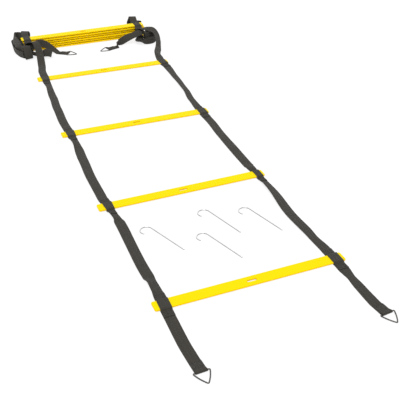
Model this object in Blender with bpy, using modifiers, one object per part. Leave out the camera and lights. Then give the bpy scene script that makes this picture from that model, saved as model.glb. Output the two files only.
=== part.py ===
# Agility ladder, partly folded: four rungs laid out, six rungs stacked, four ground pegs.
# Metres, +Z up. The ladder runs along Y, its near end towards -Y, and lies on the floor at z = 0.

from math import asin, atan2, cos, degrees, pi, radians, sin

import bmesh
import bpy
from mathutils import Matrix, Quaternion, Vector

# Rungs
RUNG_LENGTH = 0.434
RUNG_WIDTH = 0.029
RUNG_THICKNESS = 0.004
RUNG_CORNER_RADIUS = 0.0042
RUNG_EDGE_ROUND = 0.0006
SLOT_LENGTH = 0.022
SLOT_WIDTH = 0.0066
RUNG_PITCH = 0.400
RUNGS_LAID_OUT = 4
STACKED_RUNGS = (6, 7, 8, 9, 10, 5)

# Webbing
WEBBING_WIDTH = 0.025
WEBBING_THICKNESS = 0.0012
STRAP_INSET = 0.020
PATCH_LENGTH = 0.075
PATCH_SLOPE = 0.005
PATCH_TRIM = 0.0008
PATCH_BITE = 0.0005
FOLD_BACK = 0.028
EYE_RUN_OUT = 0.010

# Clearances
SEAT_GAP = 0.0003
POCKET_GAP = 0.0002
JOINT_GAP = 0.0003
HINGE_SETBACK = 0.0065

# Rings and pegs
RING_WIRE = 0.0028
RING_BASE = 0.0355
RING_HEIGHT = 0.0325
RING_CORNER_RADIUS = 0.0020
RING_BOW = 0.0012
PEG_WIRE = 0.0028
PEG_SHANK = 0.116
PEG_HOOK_RADIUS = 0.0145
PEG_HOOK_TURN = 212.0

# Folded part
STACK_LEVEL = 0.0076
BAY_4_LENGTH = 0.070
LEAD_LENGTH = 0.1259
FOLD_NECK = 0.0014
FOLD_NECK_SHARE = 0.4
TAIL_LENGTH = 0.164

# How finely curves are drawn
CLOTH_STEP = 0.008
FLOOR_STEP = 0.036
WIRE_SIDES = 2
ARC_STEPS = 4
PASS_STEPS = 3

SIDES = {"left": -1, "right": 1}
HALF_CLOTH = WEBBING_THICKNESS / 2
SLEEVE_HEIGHT = RUNG_THICKNESS + 2 * (WEBBING_THICKNESS + POCKET_GAP)
STRAP_SPREAD = RUNG_LENGTH / 2 - STRAP_INSET
HINGE_REACH = PATCH_LENGTH / 2 + HINGE_SETBACK

# Where the laid-out rungs lie: along the ladder as shares of the pitch, and sideways as shares
# of the rung's width, with each rung's turn in degrees.
RUNG_ALONG_SHARES = (0, 0.988, 1.990, 3.009)
RUNG_ASIDE_SHARES = (-0.027, -0.400, -0.378, 0.012)
RUNG_TURNS = (1.45, 1.06, -0.35, -1.28)

# The same for the stack: small slips of each rung as shares of its width, and turns in degrees.
STACK_ASIDE_SHARES = (0.07, -0.10, 0.10, -0.03, 0.14, 0.02)
STACK_ALONG_SHARES = (0, 0.05, -0.03, 0.04, -0.05, 0.02)
STACK_TURNS = (-0.5, -0.2, -0.8, -0.3, -0.7, -0.9)

# Each strap's wander on the floor: along as shares of the pitch, and sideways from its straight
# line as shares of the webbing's width, positive to the right.
STRAP_WANDER_SHARES = {
    "left": ((-0.51, 0.24), (-0.37, 0.05), (-0.11, 0.08), (0.11, 0.12), (0.34, -0.02),
             (0.78, 0.06), (0.99, -0.22), (1.10, -0.36), (1.35, -0.44), (1.60, -0.30),
             (1.82, -0.14), (1.99, -0.22), (2.22, -0.32), (2.43, -0.22), (2.66, 0),
             (2.90, 0.18), (3.01, 0.20), (3.16, 0.30), (3.34, 0.68)),
    "right": ((-0.51, 0.34), (-0.37, 0.06), (-0.11, 0.04), (0, 0), (0.11, -0.04),
              (0.26, -0.24), (0.49, -0.40), (0.80, -0.20), (0.99, -0.26), (1.10, -0.36),
              (1.35, -0.42), (1.60, -0.40), (1.82, -0.26), (1.99, -0.33), (2.22, -0.28),
              (2.40, 0), (2.64, 0.12), (2.90, 0.30), (3.01, 0.12), (3.16, 0.36), (3.34, 1.24)),
}

# The free runs of each strap between and beside the stacked rungs. Every point gives how far it
# is from the end of the rung's patch and how far outwards of the strap's line, then its height,
# all as shares of the webbing's width, and where there is a fourth value the strap's lean in
# degrees. The lead's first values are shares of its own length. The ladder folds to and fro: the
# fifth rung is on top, the sixth at the bottom.
LEAD_SHARES = {
    "left": ((0.780, -0.80, 0.30, 0), (0.600, -0.90, 0.90, 0), (0.440, -0.86, 1.50, 0),
             (0.330, -0.76, 1.84, 0), (0.250, -0.56, 1.92, 0), (0.170, -0.30, 1.80, 0),
             (0.080, -0.08, 1.60, 0)),
    "right": ((0.858, 1.40, 0.48, 0), (0.691, 1.72, 1.12, 0), (0.477, 1.72, 1.60, 0),
              (0.294, 1.24, 1.80, 0), (0.159, 0.52, 1.78, 0), (0.052, 0.10, 1.66, 0)),
}
TOP_FOLD_SHARES = {
    "left": ((0.32, 0, 1.70), (1.00, -0.12, 1.80), (1.92, -0.36, 1.56), (2.88, -0.60, 1.08),
             (3.76, -0.76, 0.50), (4.00, -0.76, 0.20), (3.68, -0.68, 0.04), (2.40, -0.44, 0.04),
             (1.12, -0.16, 0.05), (0.40, 0, 0.18)),
    "right": ((0.32, 0, 1.76), (0.92, 0.04, 2.04), (1.60, 0.16, 1.80), (2.48, 0.32, 1.24),
              (3.44, 0.40, 0.52), (3.72, 0.40, 0.22), (3.44, 0.32, 0.04), (2.20, 0.16, 0.04),
              (1.00, 0.04, 0.05), (0.40, 0, 0.18)),
}
FRONT_FOLD_SHARES = {
    "left": (((0.36, -0.08, 0.30, 0), (1.00, -0.56, 0.34, 0), (1.60, -1.16, 0.40, 20),
              (2.10, -1.64, 0.50, 40), (2.60, -1.90, 0.52, 50)),
             ((0.40, 0.12, 0.94, 0), (0.90, 0.26, 0.98, 0), (1.36, 0.34, 1.14, 0),
              (1.72, 0.38, 1.02, 0), (1.86, 0.38, 0.66, 0), (1.88, 0.38, 0.34, 0))),
    "right": (((0.60, -0.24, 0.34, 0), (1.32, -0.60, 0.40, 0), (2.00, -0.64, 0.44, 16),
               (2.44, -0.20, 0.50, 50), (2.50, 0.50, 0.52, 75), (2.34, 1.10, 0.52, 85)),
              ((0.50, 0.16, 0.92, 0), (0.92, 0.52, 1.00, 0), (1.28, 0.82, 1.16, 0),
               (1.52, 0.94, 1.00, 0), (1.60, 0.98, 0.64, 0), (1.62, 0.98, 0.34, 0))),
}
BACK_FOLD_SHARES = {
    "left": (((0.50, 0.06, 0.58, 0), (0.96, 0.50, 0.56, 20), (1.04, 1.16, 0.54, 50),
              (0.50, 1.66, 0.54, 75), (-0.60, 1.86, 0.54, 85), (-1.80, 1.82, 0.54, 85),
              (-2.80, 1.62, 0.54, 85), (-3.60, 1.36, 0.54, 85)),
             ((0.50, 0.06, 1.20, 0), (0.92, 0.44, 1.30, 20), (0.96, 1.00, 1.46, 50),
              (0.44, 1.40, 1.60, 75), (-0.60, 1.56, 1.70, 85), (-1.60, 1.48, 1.74, 85),
              (-2.50, 1.36, 1.70, 85), (-3.30, 1.24, 1.66, 85))),
    "right": (((0.80, 0.04, 0.58, 0), (1.68, 0.12, 0.42, 0), (2.48, 0.20, 0.28, 0)),
              ((0.72, 0.16, 1.20, 0), (1.44, 0.60, 1.12, 0), (2.16, 1.08, 0.84, 0),
               (2.80, 1.40, 0.50, 0))),
}

# How round each fold is at its tip, as shares of the webbing's width.
FRONT_TIP_SHARES = {"left": (0.10, 0.20), "right": (0.08, 0.24)}
BACK_TIP_SHARES = {"left": (0.16, 0.20), "right": (0.07, 0.10)}

# The strap's far end, from the stack down to its ring.
TAIL_SHARES = {
    "left": ((0.24, 0, 1.42, 0), (0.52, -0.04, 1.34, -4), (0.70, -0.36, 1.26, -28),
             (0.68, -0.88, 1.34, -54), (0.42, -1.36, 1.42, -66), (0.10, -1.84, 1.20, -64),
             (-0.10, -2.30, 0.84, -58), (0.06, -2.84, 0.52, -42), (0.50, -3.34, 0.26, -14)),
    "right": ((0.44, -0.02, 1.45, 0), (0.88, -0.24, 1.42, 2), (1.08, -0.80, 1.30, 14),
              (1.04, -1.50, 1.10, 30), (1.02, -2.30, 0.82, 42), (1.14, -3.10, 0.52, 36),
              (1.50, -3.90, 0.26, 16)),
}
TAIL_RING_SHARES = {"left": (1.76, -4.92), "right": (2.12, -5.32)}
BACK_RING_HEADINGS = {"left": -34.0, "right": 196.0}

# How long each near strap end is, as a share of the longer one, and where its ring points.
TAIL_LENGTH_SHARES = {"left": 1.0, "right": 0.90}
FRONT_RING_HEADINGS = {"left": -86.0, "right": -82.0}

# Where the four pegs lie in the first bay: the hook's centre as shares of the pitch from the
# first rung, and the shank's heading in degrees.
PEG_PLACE_SHARES = ((-0.370, 0.656), (-0.001, 0.705), (0.232, 0.638), (-0.093, 0.476))
PEG_HEADINGS = (-69.0, -72.4, -73.1, -71.0)

# Colours and finishes: colour, roughness, metallic
FINISHES = {
    "yellow plastic": ((1.0, 0.80, 0.0), 0.42, 0.0),
    "charcoal webbing": ((0.063, 0.060, 0.050), 0.85, 0.0),
    "bright wire": ((0.62, 0.62, 0.60), 0.25, 1.0),
    "zinc wire": ((0.45, 0.45, 0.46), 0.35, 1.0),
}


# Scene, collections and materials

for thing in list(bpy.data.objects):
    bpy.data.objects.remove(thing, do_unlink=True)

ladder_parts = bpy.data.collections.new("agility ladder")
cutter_parts = bpy.data.collections.new("sewing aids")
bpy.context.scene.collection.children.link(ladder_parts)
bpy.context.scene.collection.children.link(cutter_parts)


def make_finish(name):
    """A plain Principled material."""
    colour, roughness, metallic = FINISHES[name]
    material = bpy.data.materials.new(name)
    material.use_nodes = True
    shader = material.node_tree.nodes["Principled BSDF"]
    shader.inputs["Base Color"].default_value = (*colour, 1)
    shader.inputs["Roughness"].default_value = roughness
    shader.inputs["Metallic"].default_value = metallic
    return material


finishes = {name: make_finish(name) for name in FINISHES}


def joint_frame(name, place, parent=None):
    """An empty on a joint's axis. Everything that moves with the joint hangs from it."""
    empty = bpy.data.objects.new(name, None)
    ladder_parts.objects.link(empty)
    empty.parent = parent
    empty.location = Vector(place) - frame_place(parent)
    return empty


def frame_place(empty):
    """The world place of an empty, found up its chain of parents."""
    place = Vector()
    while empty is not None:
        place += empty.location
        empty = empty.parent
    return place


def add_part(name, data, frame, place, finish):
    """A named sub-part that hangs from a joint frame, with its own material."""
    part = bpy.data.objects.new(name, data)
    ladder_parts.objects.link(part)
    part.parent = frame
    part.location = Vector(place) - frame_place(frame)
    data.materials.append(finishes[finish])
    return part


# Webbing: a strip drawn by extruding its end edge from station to station, then thickened

def smooth_route(points, step):
    """Points about a step apart on a smooth curve through the given points."""
    points = [Vector(p) for p in points]
    last = len(points) - 1
    slopes = []
    for i, point in enumerate(points):
        before, after = points[max(i - 1, 0)], points[min(i + 1, last)]
        span = (point - before).length + (after - point).length
        slopes.append((after - before) / span)
    route = [points[0]]
    for i in range(last):
        start, end = points[i], points[i + 1]
        chord = (end - start).length
        pieces = max(1, round(chord / step))
        for k in range(1, pieces + 1):
            t = k / pieces
            blend = t * t * (3 - 2 * t)
            swing_out = chord * (t * (1 - t) * (1 - t))
            swing_in = chord * (t * t * (t - 1))
            route.append(start.lerp(end, blend) + slopes[i] * swing_out + slopes[i + 1] * swing_in)
    return route


def route_length(route):
    return sum((b - a).length for a, b in zip(route, route[1:]))


def level_stations(route, across=Vector((1, 0, 0))):
    """Stations of a strip whose width always points the same way."""
    return [(point, across.copy()) for point in route]


def carried_stations(route, start, end=None, leans=None):
    """Stations of a strip that bends but twists no more than it has to between its ends."""
    across = start
    stations = []
    for i, point in enumerate(route):
        before, after = route[max(i - 1, 0)], route[min(i + 1, len(route) - 1)]
        tangent = (after - before).normalized()
        across = (across - tangent * across.dot(tangent)).normalized()
        stations.append((point, across, tangent))
    twist = 0
    if end is not None:
        last = end - tangent * end.dot(tangent)
        twist = atan2(across.cross(last).dot(tangent), across.dot(last))
    turned = []
    for i, (point, across, tangent) in enumerate(stations):
        lean = twist * i / (len(stations) - 1) + radians(leans[i] if leans else 0)
        turned.append((point, Quaternion(tangent, lean) @ across))
    return turned


def lean_track(points, leans, route):
    """The lean at each point of a smooth route, between those given at its control points."""
    track = []
    for spot in route:
        near, far = sorted(range(len(points)), key=lambda i: (points[i] - spot).length)[:2]
        to_near, to_far = (points[near] - spot).length, (points[far] - spot).length
        track.append((leans[near] * to_far + leans[far] * to_near) / (to_near + to_far))
    return track


def strip_mesh(name, stations, origin, width):
    """The strip's middle surface."""
    mesh = bpy.data.meshes.new(name)
    bm = bmesh.new()
    rims = [[bm.verts.new(point - origin + side * across * width / 2) for side in (-1, 1)]
            for point, across in stations[:1]][0]
    edge = bm.edges.new(rims)
    for point, across in stations[1:]:
        grown = bmesh.ops.extrude_edge_only(bm, edges=[edge])["geom"]
        edge = next(part for part in grown if isinstance(part, bmesh.types.BMEdge))
        fresh = sorted(edge.verts, key=lambda v: (v.co - rims[0].co).length)
        for vert, side in zip(fresh, (-1, 1)):
            vert.co = point - origin + side * across * width / 2
        rims = fresh
    bm.normal_update()
    bm.to_mesh(mesh)
    bm.free()
    return mesh


def webbing(name, stations, frame, origin, width=WEBBING_WIDTH):
    """A piece of webbing along its stations."""
    strip = add_part(name, strip_mesh(name, stations, origin, width), frame, origin,
                     "charcoal webbing")
    thicken = strip.modifiers.new("webbing thickness", "SOLIDIFY")
    thicken.thickness = WEBBING_THICKNESS
    thicken.offset = 0
    return strip


def strap_aside(side, along):
    """Where a strap's middle lies across the ladder, at a place along it."""
    table = [(a * RUNG_PITCH, s * WEBBING_WIDTH) for a, s in STRAP_WANDER_SHARES[side]]
    straight = SIDES[side] * STRAP_SPREAD
    for (a0, s0), (a1, s1) in zip(table, table[1:]):
        if along <= a1:
            t = (along - a0) / (a1 - a0)
            return straight + s0 + (s1 - s0) * t * t * (3 - 2 * t)
    return straight + table[-1][1]


def floor_strap(name, side, far, near, frame, origin):
    """A flat stretch of strap on the floor, from its far end to its near end."""
    pieces = max(1, round((far - near) / FLOOR_STEP))
    route = []
    for k in range(pieces + 1):
        along = far + (near - far) * k / pieces
        route.append(Vector((strap_aside(side, along), along, HALF_CLOTH)))
    return webbing(name, level_stations(route), frame, origin)


def patch_profile(base, top, half_length):
    """Half-way heights of a patch that is sewn down at both ends and humps over a rung."""
    rest = RUNG_WIDTH / 2 + POCKET_GAP
    foot = rest + PATCH_SLOPE
    return ((-half_length, base), (-foot, base), (-rest, top), (0, top), (rest, top),
            (foot, base), (half_length, base))


# Rungs: a flat slat with rounded corners and a slot through its middle

def arc_points(centre, radius, start, turn, steps):
    """Points on an arc, angles in degrees."""
    return [centre + radius * Vector((cos(radians(start + turn * k / steps)),
                                      sin(radians(start + turn * k / steps)), 0))
            for k in range(steps + 1)]


def rounded_outline(length, width, radius, steps):
    """A rectangle's outline with round corners."""
    points = []
    for quarter, (sx, sy) in enumerate(((1, 1), (-1, 1), (-1, -1), (1, -1))):
        centre = Vector((sx * (length / 2 - radius), sy * (width / 2 - radius), 0))
        points += arc_points(centre, radius, 90 * quarter, 90, steps)
    return points


def add_outline(curve, points):
    spline = curve.splines.new("POLY")
    spline.points.add(len(points[1:]))
    for spot, point in zip(spline.points, points):
        spot.co = (*point, 1)
    spline.use_cyclic_u = True


def rung_curve():
    """The slat, lying flat and centred on its own middle."""
    curve = bpy.data.curves.new("rung outline", "CURVE")
    curve.dimensions = "2D"
    curve.fill_mode = "BOTH"
    inset = 2 * RUNG_EDGE_ROUND
    add_outline(curve, rounded_outline(RUNG_LENGTH - inset, RUNG_WIDTH - inset,
                                       RUNG_CORNER_RADIUS - RUNG_EDGE_ROUND, ARC_STEPS))
    slot_radius = SLOT_WIDTH / 2 + RUNG_EDGE_ROUND
    add_outline(curve, rounded_outline(SLOT_LENGTH + inset, SLOT_WIDTH + inset,
                                       slot_radius, ARC_STEPS))
    curve.extrude = RUNG_THICKNESS / 2 - RUNG_EDGE_ROUND
    curve.bevel_depth = RUNG_EDGE_ROUND
    curve.bevel_resolution = 0
    return curve


def add_rung(number, middle, turn, frame):
    rung = add_part(f"rung_{number}", rung_curve(), frame, middle, "yellow plastic")
    rung.rotation_euler.z = radians(turn)
    return rung


# Rings and pegs: bent wire

def wire_curve(name, points, thickness, closed):
    curve = bpy.data.curves.new(name, "CURVE")
    curve.dimensions = "3D"
    spline = curve.splines.new("POLY")
    spline.points.add(len(points[1:]))
    for spot, point in zip(spline.points, points):
        spot.co = (*point, 1)
    spline.use_cyclic_u = closed
    curve.bevel_depth = thickness / 2
    curve.bevel_resolution = WIRE_SIDES
    curve.use_fill_caps = not closed
    return curve


def ring_points():
    """A triangle of wire: its base bar on the local X axis, its point towards -Y, sides bowed."""
    corners = (Vector((-RING_BASE / 2, 0, 0)), Vector((0, -RING_HEIGHT, 0)),
               Vector((RING_BASE / 2, 0, 0)))
    bows = (RING_BOW, RING_BOW, 0)
    middle = sum(corners, Vector()) / len(corners)
    points = []
    for i, corner in enumerate(corners):
        before, after = corners[i - 1], corners[(i + 1) % len(corners)]
        inwards = ((before - corner).normalized() + (after - corner).normalized()).normalized()
        half_angle = (before - corner).angle(after - corner) / 2
        centre = corner + inwards * RING_CORNER_RADIUS / sin(half_angle)
        away = degrees(atan2(-inwards.y, -inwards.x))
        turn = 180 - 2 * degrees(half_angle)
        points += arc_points(centre, RING_CORNER_RADIUS, away - turn / 2, turn, ARC_STEPS - 1)
        side_middle = (corner + after) / 2
        if bows[i]:
            points.append(side_middle + (side_middle - middle).normalized() * bows[i])
    return points


EYE_RADIUS = RING_WIRE / 2 + SEAT_GAP + HALF_CLOTH
BAR_HEIGHT = EYE_RADIUS + HALF_CLOTH
RING_DROOP = asin((BAR_HEIGHT - RING_WIRE / 2) / RING_HEIGHT)


def add_ring(name, place, heading, frame):
    """A ring whose base bar sits in its strap's eye, with its point resting on the floor."""
    ring = add_part(name, wire_curve(name, ring_points(), RING_WIRE, True), frame, place,
                    "bright wire")
    droop = Matrix.Rotation(RING_DROOP, 3, "X")
    yaw = Matrix.Rotation(radians(heading + 90), 3, "Z")
    ring.rotation_euler = (yaw @ droop).to_euler()
    return ring


def eye_route(bar, heading):
    """The strap's end: flat to the ring's bar, round it, and back on itself."""
    outwards = Vector((cos(radians(heading)), sin(radians(heading)), 0))
    upper = WEBBING_THICKNESS + SEAT_GAP + HALF_CLOTH
    route = [bar - outwards * reach for reach in (FOLD_BACK + EYE_RUN_OUT, EYE_RUN_OUT, 0)]
    route = [Vector((p.x, p.y, HALF_CLOTH)) for p in route]
    for k in range(1, 2 * ARC_STEPS):
        turn = pi * k / (2 * ARC_STEPS) - pi / 2
        lift = Vector((0, 0, sin(turn) * EYE_RADIUS))
        route.append(Vector((bar.x, bar.y, BAR_HEIGHT)) + outwards * cos(turn) * EYE_RADIUS + lift)
    route.append(Vector((bar.x, bar.y, BAR_HEIGHT + EYE_RADIUS)))
    for back, height in ((EYE_RUN_OUT, upper), (FOLD_BACK, upper)):
        spot = bar - outwards * back
        route.append(Vector((spot.x, spot.y, height)))
    return route, outwards


def eye_stations(bar, heading):
    route, outwards = eye_route(bar, heading)
    across = Vector((-outwards.y, outwards.x, 0))
    return level_stations(route, across)


def peg_points():
    """A hooked peg lying flat: its hook round the origin, its shank running along +X."""
    hook = arc_points(Vector(), PEG_HOOK_RADIUS, PEG_HOOK_TURN + 90, -PEG_HOOK_TURN,
                      3 * ARC_STEPS)
    return hook + [Vector((PEG_SHANK, PEG_HOOK_RADIUS, 0))]


# The stacked part of a strap

def stack_place(level):
    """The middle of a stacked rung."""
    aside = STACK_ASIDE_SHARES[level] * RUNG_WIDTH
    along = bay_4_hinge() + LEAD_LENGTH + PATCH_LENGTH / 2
    along += STACK_ALONG_SHARES[level] * RUNG_WIDTH
    height = level * STACK_LEVEL + SLEEVE_HEIGHT / 2
    return Vector((aside, along, height))


def strap_height(level):
    """The strap runs over the even levels' rungs and under the odd ones, as it folds to and fro."""
    lower = level * STACK_LEVEL + HALF_CLOTH
    return lower if level % 2 == 1 else lower + SLEEVE_HEIGHT - WEBBING_THICKNESS


def run_place(side, end, shares, away, run=WEBBING_WIDTH):
    """A point of a free run, from its shares."""
    out = SIDES[side] * shares[1] * WEBBING_WIDTH
    back = away * shares[0] * run
    return Vector((end.x + out, end.y + back, max(shares[2] * WEBBING_WIDTH, HALF_CLOTH)))


def seat_place(side, level, along, height):
    """A place on a stacked rung's patch, measured from the patch's middle along the strap."""
    turn = radians(STACK_TURNS[level])
    middle = stack_place(level)
    spread = SIDES[side] * STRAP_SPREAD - middle.x
    return Vector((middle.x + spread * cos(turn) - along * sin(turn),
                   middle.y + spread * sin(turn) + along * cos(turn), height))


def seat_across(level):
    turn = radians(STACK_TURNS[level])
    return Vector((cos(turn), sin(turn), 0))


def level_end(side, level, away):
    """Where the strap leaves a stacked rung's patch, at its front (-1) or its back (+1)."""
    return seat_place(side, level, away * PATCH_LENGTH / 2, strap_height(level))


def double_fold(side, level, away):
    """A fold from one level to the next: two layers along one spine, closed at the tip."""
    low, high = level_end(side, level, away), level_end(side, level + 1, away)
    tables = FRONT_FOLD_SHARES if away < 0 else BACK_FOLD_SHARES
    tips = FRONT_TIP_SHARES if away < 0 else BACK_TIP_SHARES
    order = level // 2
    table = tables[side][order]
    tip_radius = tips[side][order] * WEBBING_WIDTH
    middle = (low + high) / 2
    points = [middle] + [run_place(side, middle, row, away) for row in table]
    spine = smooth_route(points, CLOTH_STEP)
    leans = lean_track(points, [0] + [away * SIDES[side] * row[3] for row in table], spine)
    reach = route_length(spine)
    lower, upper = [], []
    gone = 0
    for i, (point, across) in enumerate(carried_stations(spine, seat_across(level), None, leans)):
        before, after = spine[max(i - 1, 0)], spine[min(i + 1, len(spine) - 1)]
        tangent = (after - before).normalized()
        normal = across.cross(tangent) * away
        gone += (point - before).length
        start_gap = (high - low).length / 2
        t = min(1, gone / reach / FOLD_NECK_SHARE)
        gap = start_gap + (FOLD_NECK - start_gap) * t * t * (3 - 2 * t)
        t = max(0, (gone / reach - FOLD_NECK_SHARE) / (1 - FOLD_NECK_SHARE))
        gap += (tip_radius - FOLD_NECK) * t * t * (3 - 2 * t)
        if i == 0:
            normal = (high - low).normalized()
        lower.append((point - normal * gap, across))
        upper.append((point + normal * gap, across))
    tip = [(spine[-1] + tip_radius * (tangent * sin(turn) - normal * cos(turn)), across)
           for turn in (pi * k / (ARC_STEPS + 1) for k in range(1, ARC_STEPS + 1))]
    return lower[1:] + tip + upper[:0:-1]


def bundle_stations(side):
    """The strap's whole way from the last laid-out bay through the stack to its far ring."""
    flat = Vector((1, 0, 0))
    under_top, top = range(len(STACKED_RUNGS))[-2:]
    hinge = bay_4_hinge()
    lead_end = level_end(side, top, -1)
    lead = [Vector((strap_aside(side, hinge + HINGE_SETBACK), hinge + HINGE_SETBACK, HALF_CLOTH))]
    lead += [run_place(side, lead_end, row, -1, LEAD_LENGTH) for row in LEAD_SHARES[side]]
    lead.append(lead_end)
    leans = [0] + [SIDES[side] * row[3] for row in LEAD_SHARES[side]] + [0]
    way = smooth_route(lead, CLOTH_STEP)
    start = Vector((strap_aside(side, hinge), hinge + JOINT_GAP / 2, HALF_CLOTH))
    stations = [(start, flat)]
    stations += carried_stations(way, flat, seat_across(top), lean_track(lead, leans, way))[:-1]
    stations += pass_stations(side, top, 1)
    top_end, bottom_end = level_end(side, top, 1), level_end(side, 0, 1)
    fold = [top_end] + [run_place(side, top_end, row, 1) for row in TOP_FOLD_SHARES[side]]
    stations += carried_stations(smooth_route(fold + [bottom_end], CLOTH_STEP),
                                 seat_across(top), seat_across(0))[1:-1]
    for level in range(top):
        going = -1 if level % 2 == 0 else 1
        stations += pass_stations(side, level, going)
        if level < under_top:
            stations += double_fold(side, level, going)
    tail_end = level_end(side, under_top, -1)
    eye = eye_stations(tail_bar(side), BACK_RING_HEADINGS[side])
    tail = [run_place(side, tail_end, row, -1) for row in TAIL_SHARES[side]]
    tail = [tail_end] + tail + [eye[0][0]]
    leans = [0] + [-SIDES[side] * row[3] for row in TAIL_SHARES[side]] + [0]
    smooth = smooth_route(tail, CLOTH_STEP)
    across = eye[0][1] if side == "left" else -eye[0][1]
    stations += carried_stations(smooth, seat_across(under_top), across,
                                 lean_track(tail, leans, smooth))[1:-1]
    return clear_of_floor(stations) + [(point, across) for point, ignored in eye]


def clear_of_floor(stations):
    """The same stations, raised wherever a leaning edge would go below the floor."""
    raised = []
    for point, across in stations:
        low = point.z - abs(across.z) * WEBBING_WIDTH / 2
        raised.append((point + Vector((0, 0, max(0, HALF_CLOTH - low))), across))
    return raised


def pass_stations(side, level, going):
    """The straight part of the strap that a stacked rung is sewn to."""
    reach = going * PATCH_LENGTH / PASS_STEPS
    return [(seat_place(side, level, reach * (k - PASS_STEPS / 2), strap_height(level)),
             seat_across(level)) for k in range(PASS_STEPS + 1)]


def bay_4_hinge():
    """Where the laid-out straps meet the bundle's."""
    return RUNG_ALONG_SHARES[-1] * RUNG_PITCH + HINGE_REACH + BAY_4_LENGTH


def tail_bar(side):
    """The place of the far ring's bar."""
    under_top = range(len(STACKED_RUNGS))[-2]
    bar = run_place(side, level_end(side, under_top, -1), (*TAIL_RING_SHARES[side], 0), -1)
    bar.z = BAR_HEIGHT
    return bar


def add_bundle_strap(side, frame):
    """The folded strap, with the patches of the stacked rungs sewn on."""
    stations = bundle_stations(side)
    strap = webbing(f"strap_{side}_bundle", stations, frame, Vector())
    for level in range(len(STACKED_RUNGS)):
        flip = 1 if level % 2 == 1 else -1
        base = strap_height(level) + flip * (WEBBING_THICKNESS - PATCH_BITE)
        top = stack_place(level).z + flip * (SLEEVE_HEIGHT / 2 - HALF_CLOTH)
        half = PATCH_LENGTH / 2 - PATCH_TRIM
        route = [seat_place(side, level, y, z) for y, z in patch_profile(base, top, half)]
        patch = webbing(f"sewn_patch_{level}_{side}", level_stations(route, seat_across(level)),
                        frame, Vector(), WEBBING_WIDTH - 2 * PATCH_TRIM)
        ladder_parts.objects.unlink(patch)
        cutter_parts.objects.link(patch)
        patch.hide_render = True
        patch.display_type = "WIRE"
        sew = strap.modifiers.new(f"sew patch {level}", "BOOLEAN")
        sew.operation = "UNION"
        sew.object = patch
    length = route_length([point for point, across in stations])
    print(f"strap_{side}_bundle: {length:.3f} m of webbing")
    return strap


# Build the ladder from the stack outwards

def add_sleeve_patch(number, side, middle, turn, frame, origin):
    """The short patch that holds one end of a laid-out rung down on its strap."""
    along_rung = Vector((cos(radians(turn)), sin(radians(turn)), 0))
    seat = strap_aside(side, middle.y) - middle.x
    centre = middle + along_rung * seat
    base = WEBBING_THICKNESS + SEAT_GAP + HALF_CLOTH
    top = middle.z + RUNG_THICKNESS / 2 + SEAT_GAP + HALF_CLOTH
    route = [Vector((strap_aside(side, centre.y + y), centre.y + y, z))
             for y, z in patch_profile(base, top, PATCH_LENGTH / 2)]
    return webbing(f"patch_{number}_{side}", level_stations(route, along_rung), frame, origin)


def rung_place(number):
    """The middle of a laid-out rung, numbered from 1 at the near end."""
    height = WEBBING_THICKNESS + SEAT_GAP + RUNG_THICKNESS / 2
    return Vector((RUNG_ASIDE_SHARES[number - 1] * RUNG_WIDTH,
                   RUNG_ALONG_SHARES[number - 1] * RUNG_PITCH, height))


ladder = joint_frame("ladder", (0, 0, 0))

for level, number in enumerate(STACKED_RUNGS):
    add_rung(number, stack_place(level), STACK_TURNS[level], ladder)

for side in SIDES:
    add_bundle_strap(side, ladder)
    bar = tail_bar(side)
    ring_frame = joint_frame(f"axis_ring_back_{side}", bar, ladder)
    add_ring(f"ring_back_{side}", bar, BACK_RING_HEADINGS[side], ring_frame)

carrier = ladder
far = bay_4_hinge()
for number in range(RUNGS_LAID_OUT, 0, -1):
    middle = rung_place(number)
    carrier = joint_frame(f"axis_bay_{number}", (0, far, WEBBING_THICKNESS), carrier)
    for side in SIDES:
        floor_strap(f"strap_{side}_bay_{number}", side, far - JOINT_GAP / 2,
                    middle.y - HINGE_REACH + JOINT_GAP / 2, carrier, frame_place(carrier))
    add_rung(number, middle, RUNG_TURNS[number - 1], carrier)
    for side in SIDES:
        add_sleeve_patch(number, side, middle, RUNG_TURNS[number - 1], carrier,
                         frame_place(carrier))
    far = middle.y - HINGE_REACH

for i, (aside, along) in enumerate(PEG_PLACE_SHARES):
    place = Vector((aside * RUNG_PITCH, along * RUNG_PITCH, PEG_WIRE / 2))
    peg_frame = joint_frame(f"axis_peg_{i + 1}", place, ladder)
    peg = add_part(f"peg_{i + 1}", wire_curve("peg", peg_points(), PEG_WIRE, False),
                   peg_frame, place, "zinc wire")
    peg.rotation_euler.z = radians(PEG_HEADINGS[i])

for side in SIDES:
    flat = Vector((1, 0, 0))
    heading = FRONT_RING_HEADINGS[side]
    length = TAIL_LENGTH * TAIL_LENGTH_SHARES[side]
    bar = Vector((strap_aside(side, far - length), far - length, BAR_HEIGHT))
    eye = eye_stations(bar, heading)
    tail_frame = joint_frame(f"axis_tail_{side}", (0, far, WEBBING_THICKNESS), carrier)
    route = [Vector((strap_aside(side, along), along, HALF_CLOTH))
             for along in (far - JOINT_GAP / 2, far - HINGE_SETBACK, far - length / 2)]
    route = route[:1] + smooth_route(route[1:] + [eye[0][0]], FLOOR_STEP)
    stations = carried_stations(route, flat)[:-1]
    stations[0] = (route[0], flat)
    stations[1] = (route[1], flat)
    webbing(f"strap_{side}_tail", stations + eye, tail_frame, frame_place(tail_frame))
    ring_frame = joint_frame(f"axis_ring_front_{side}", bar, tail_frame)
    add_ring(f"ring_front_{side}", bar, heading, ring_frame)


# Centre the footprint on the origin and report the joint axes

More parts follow.
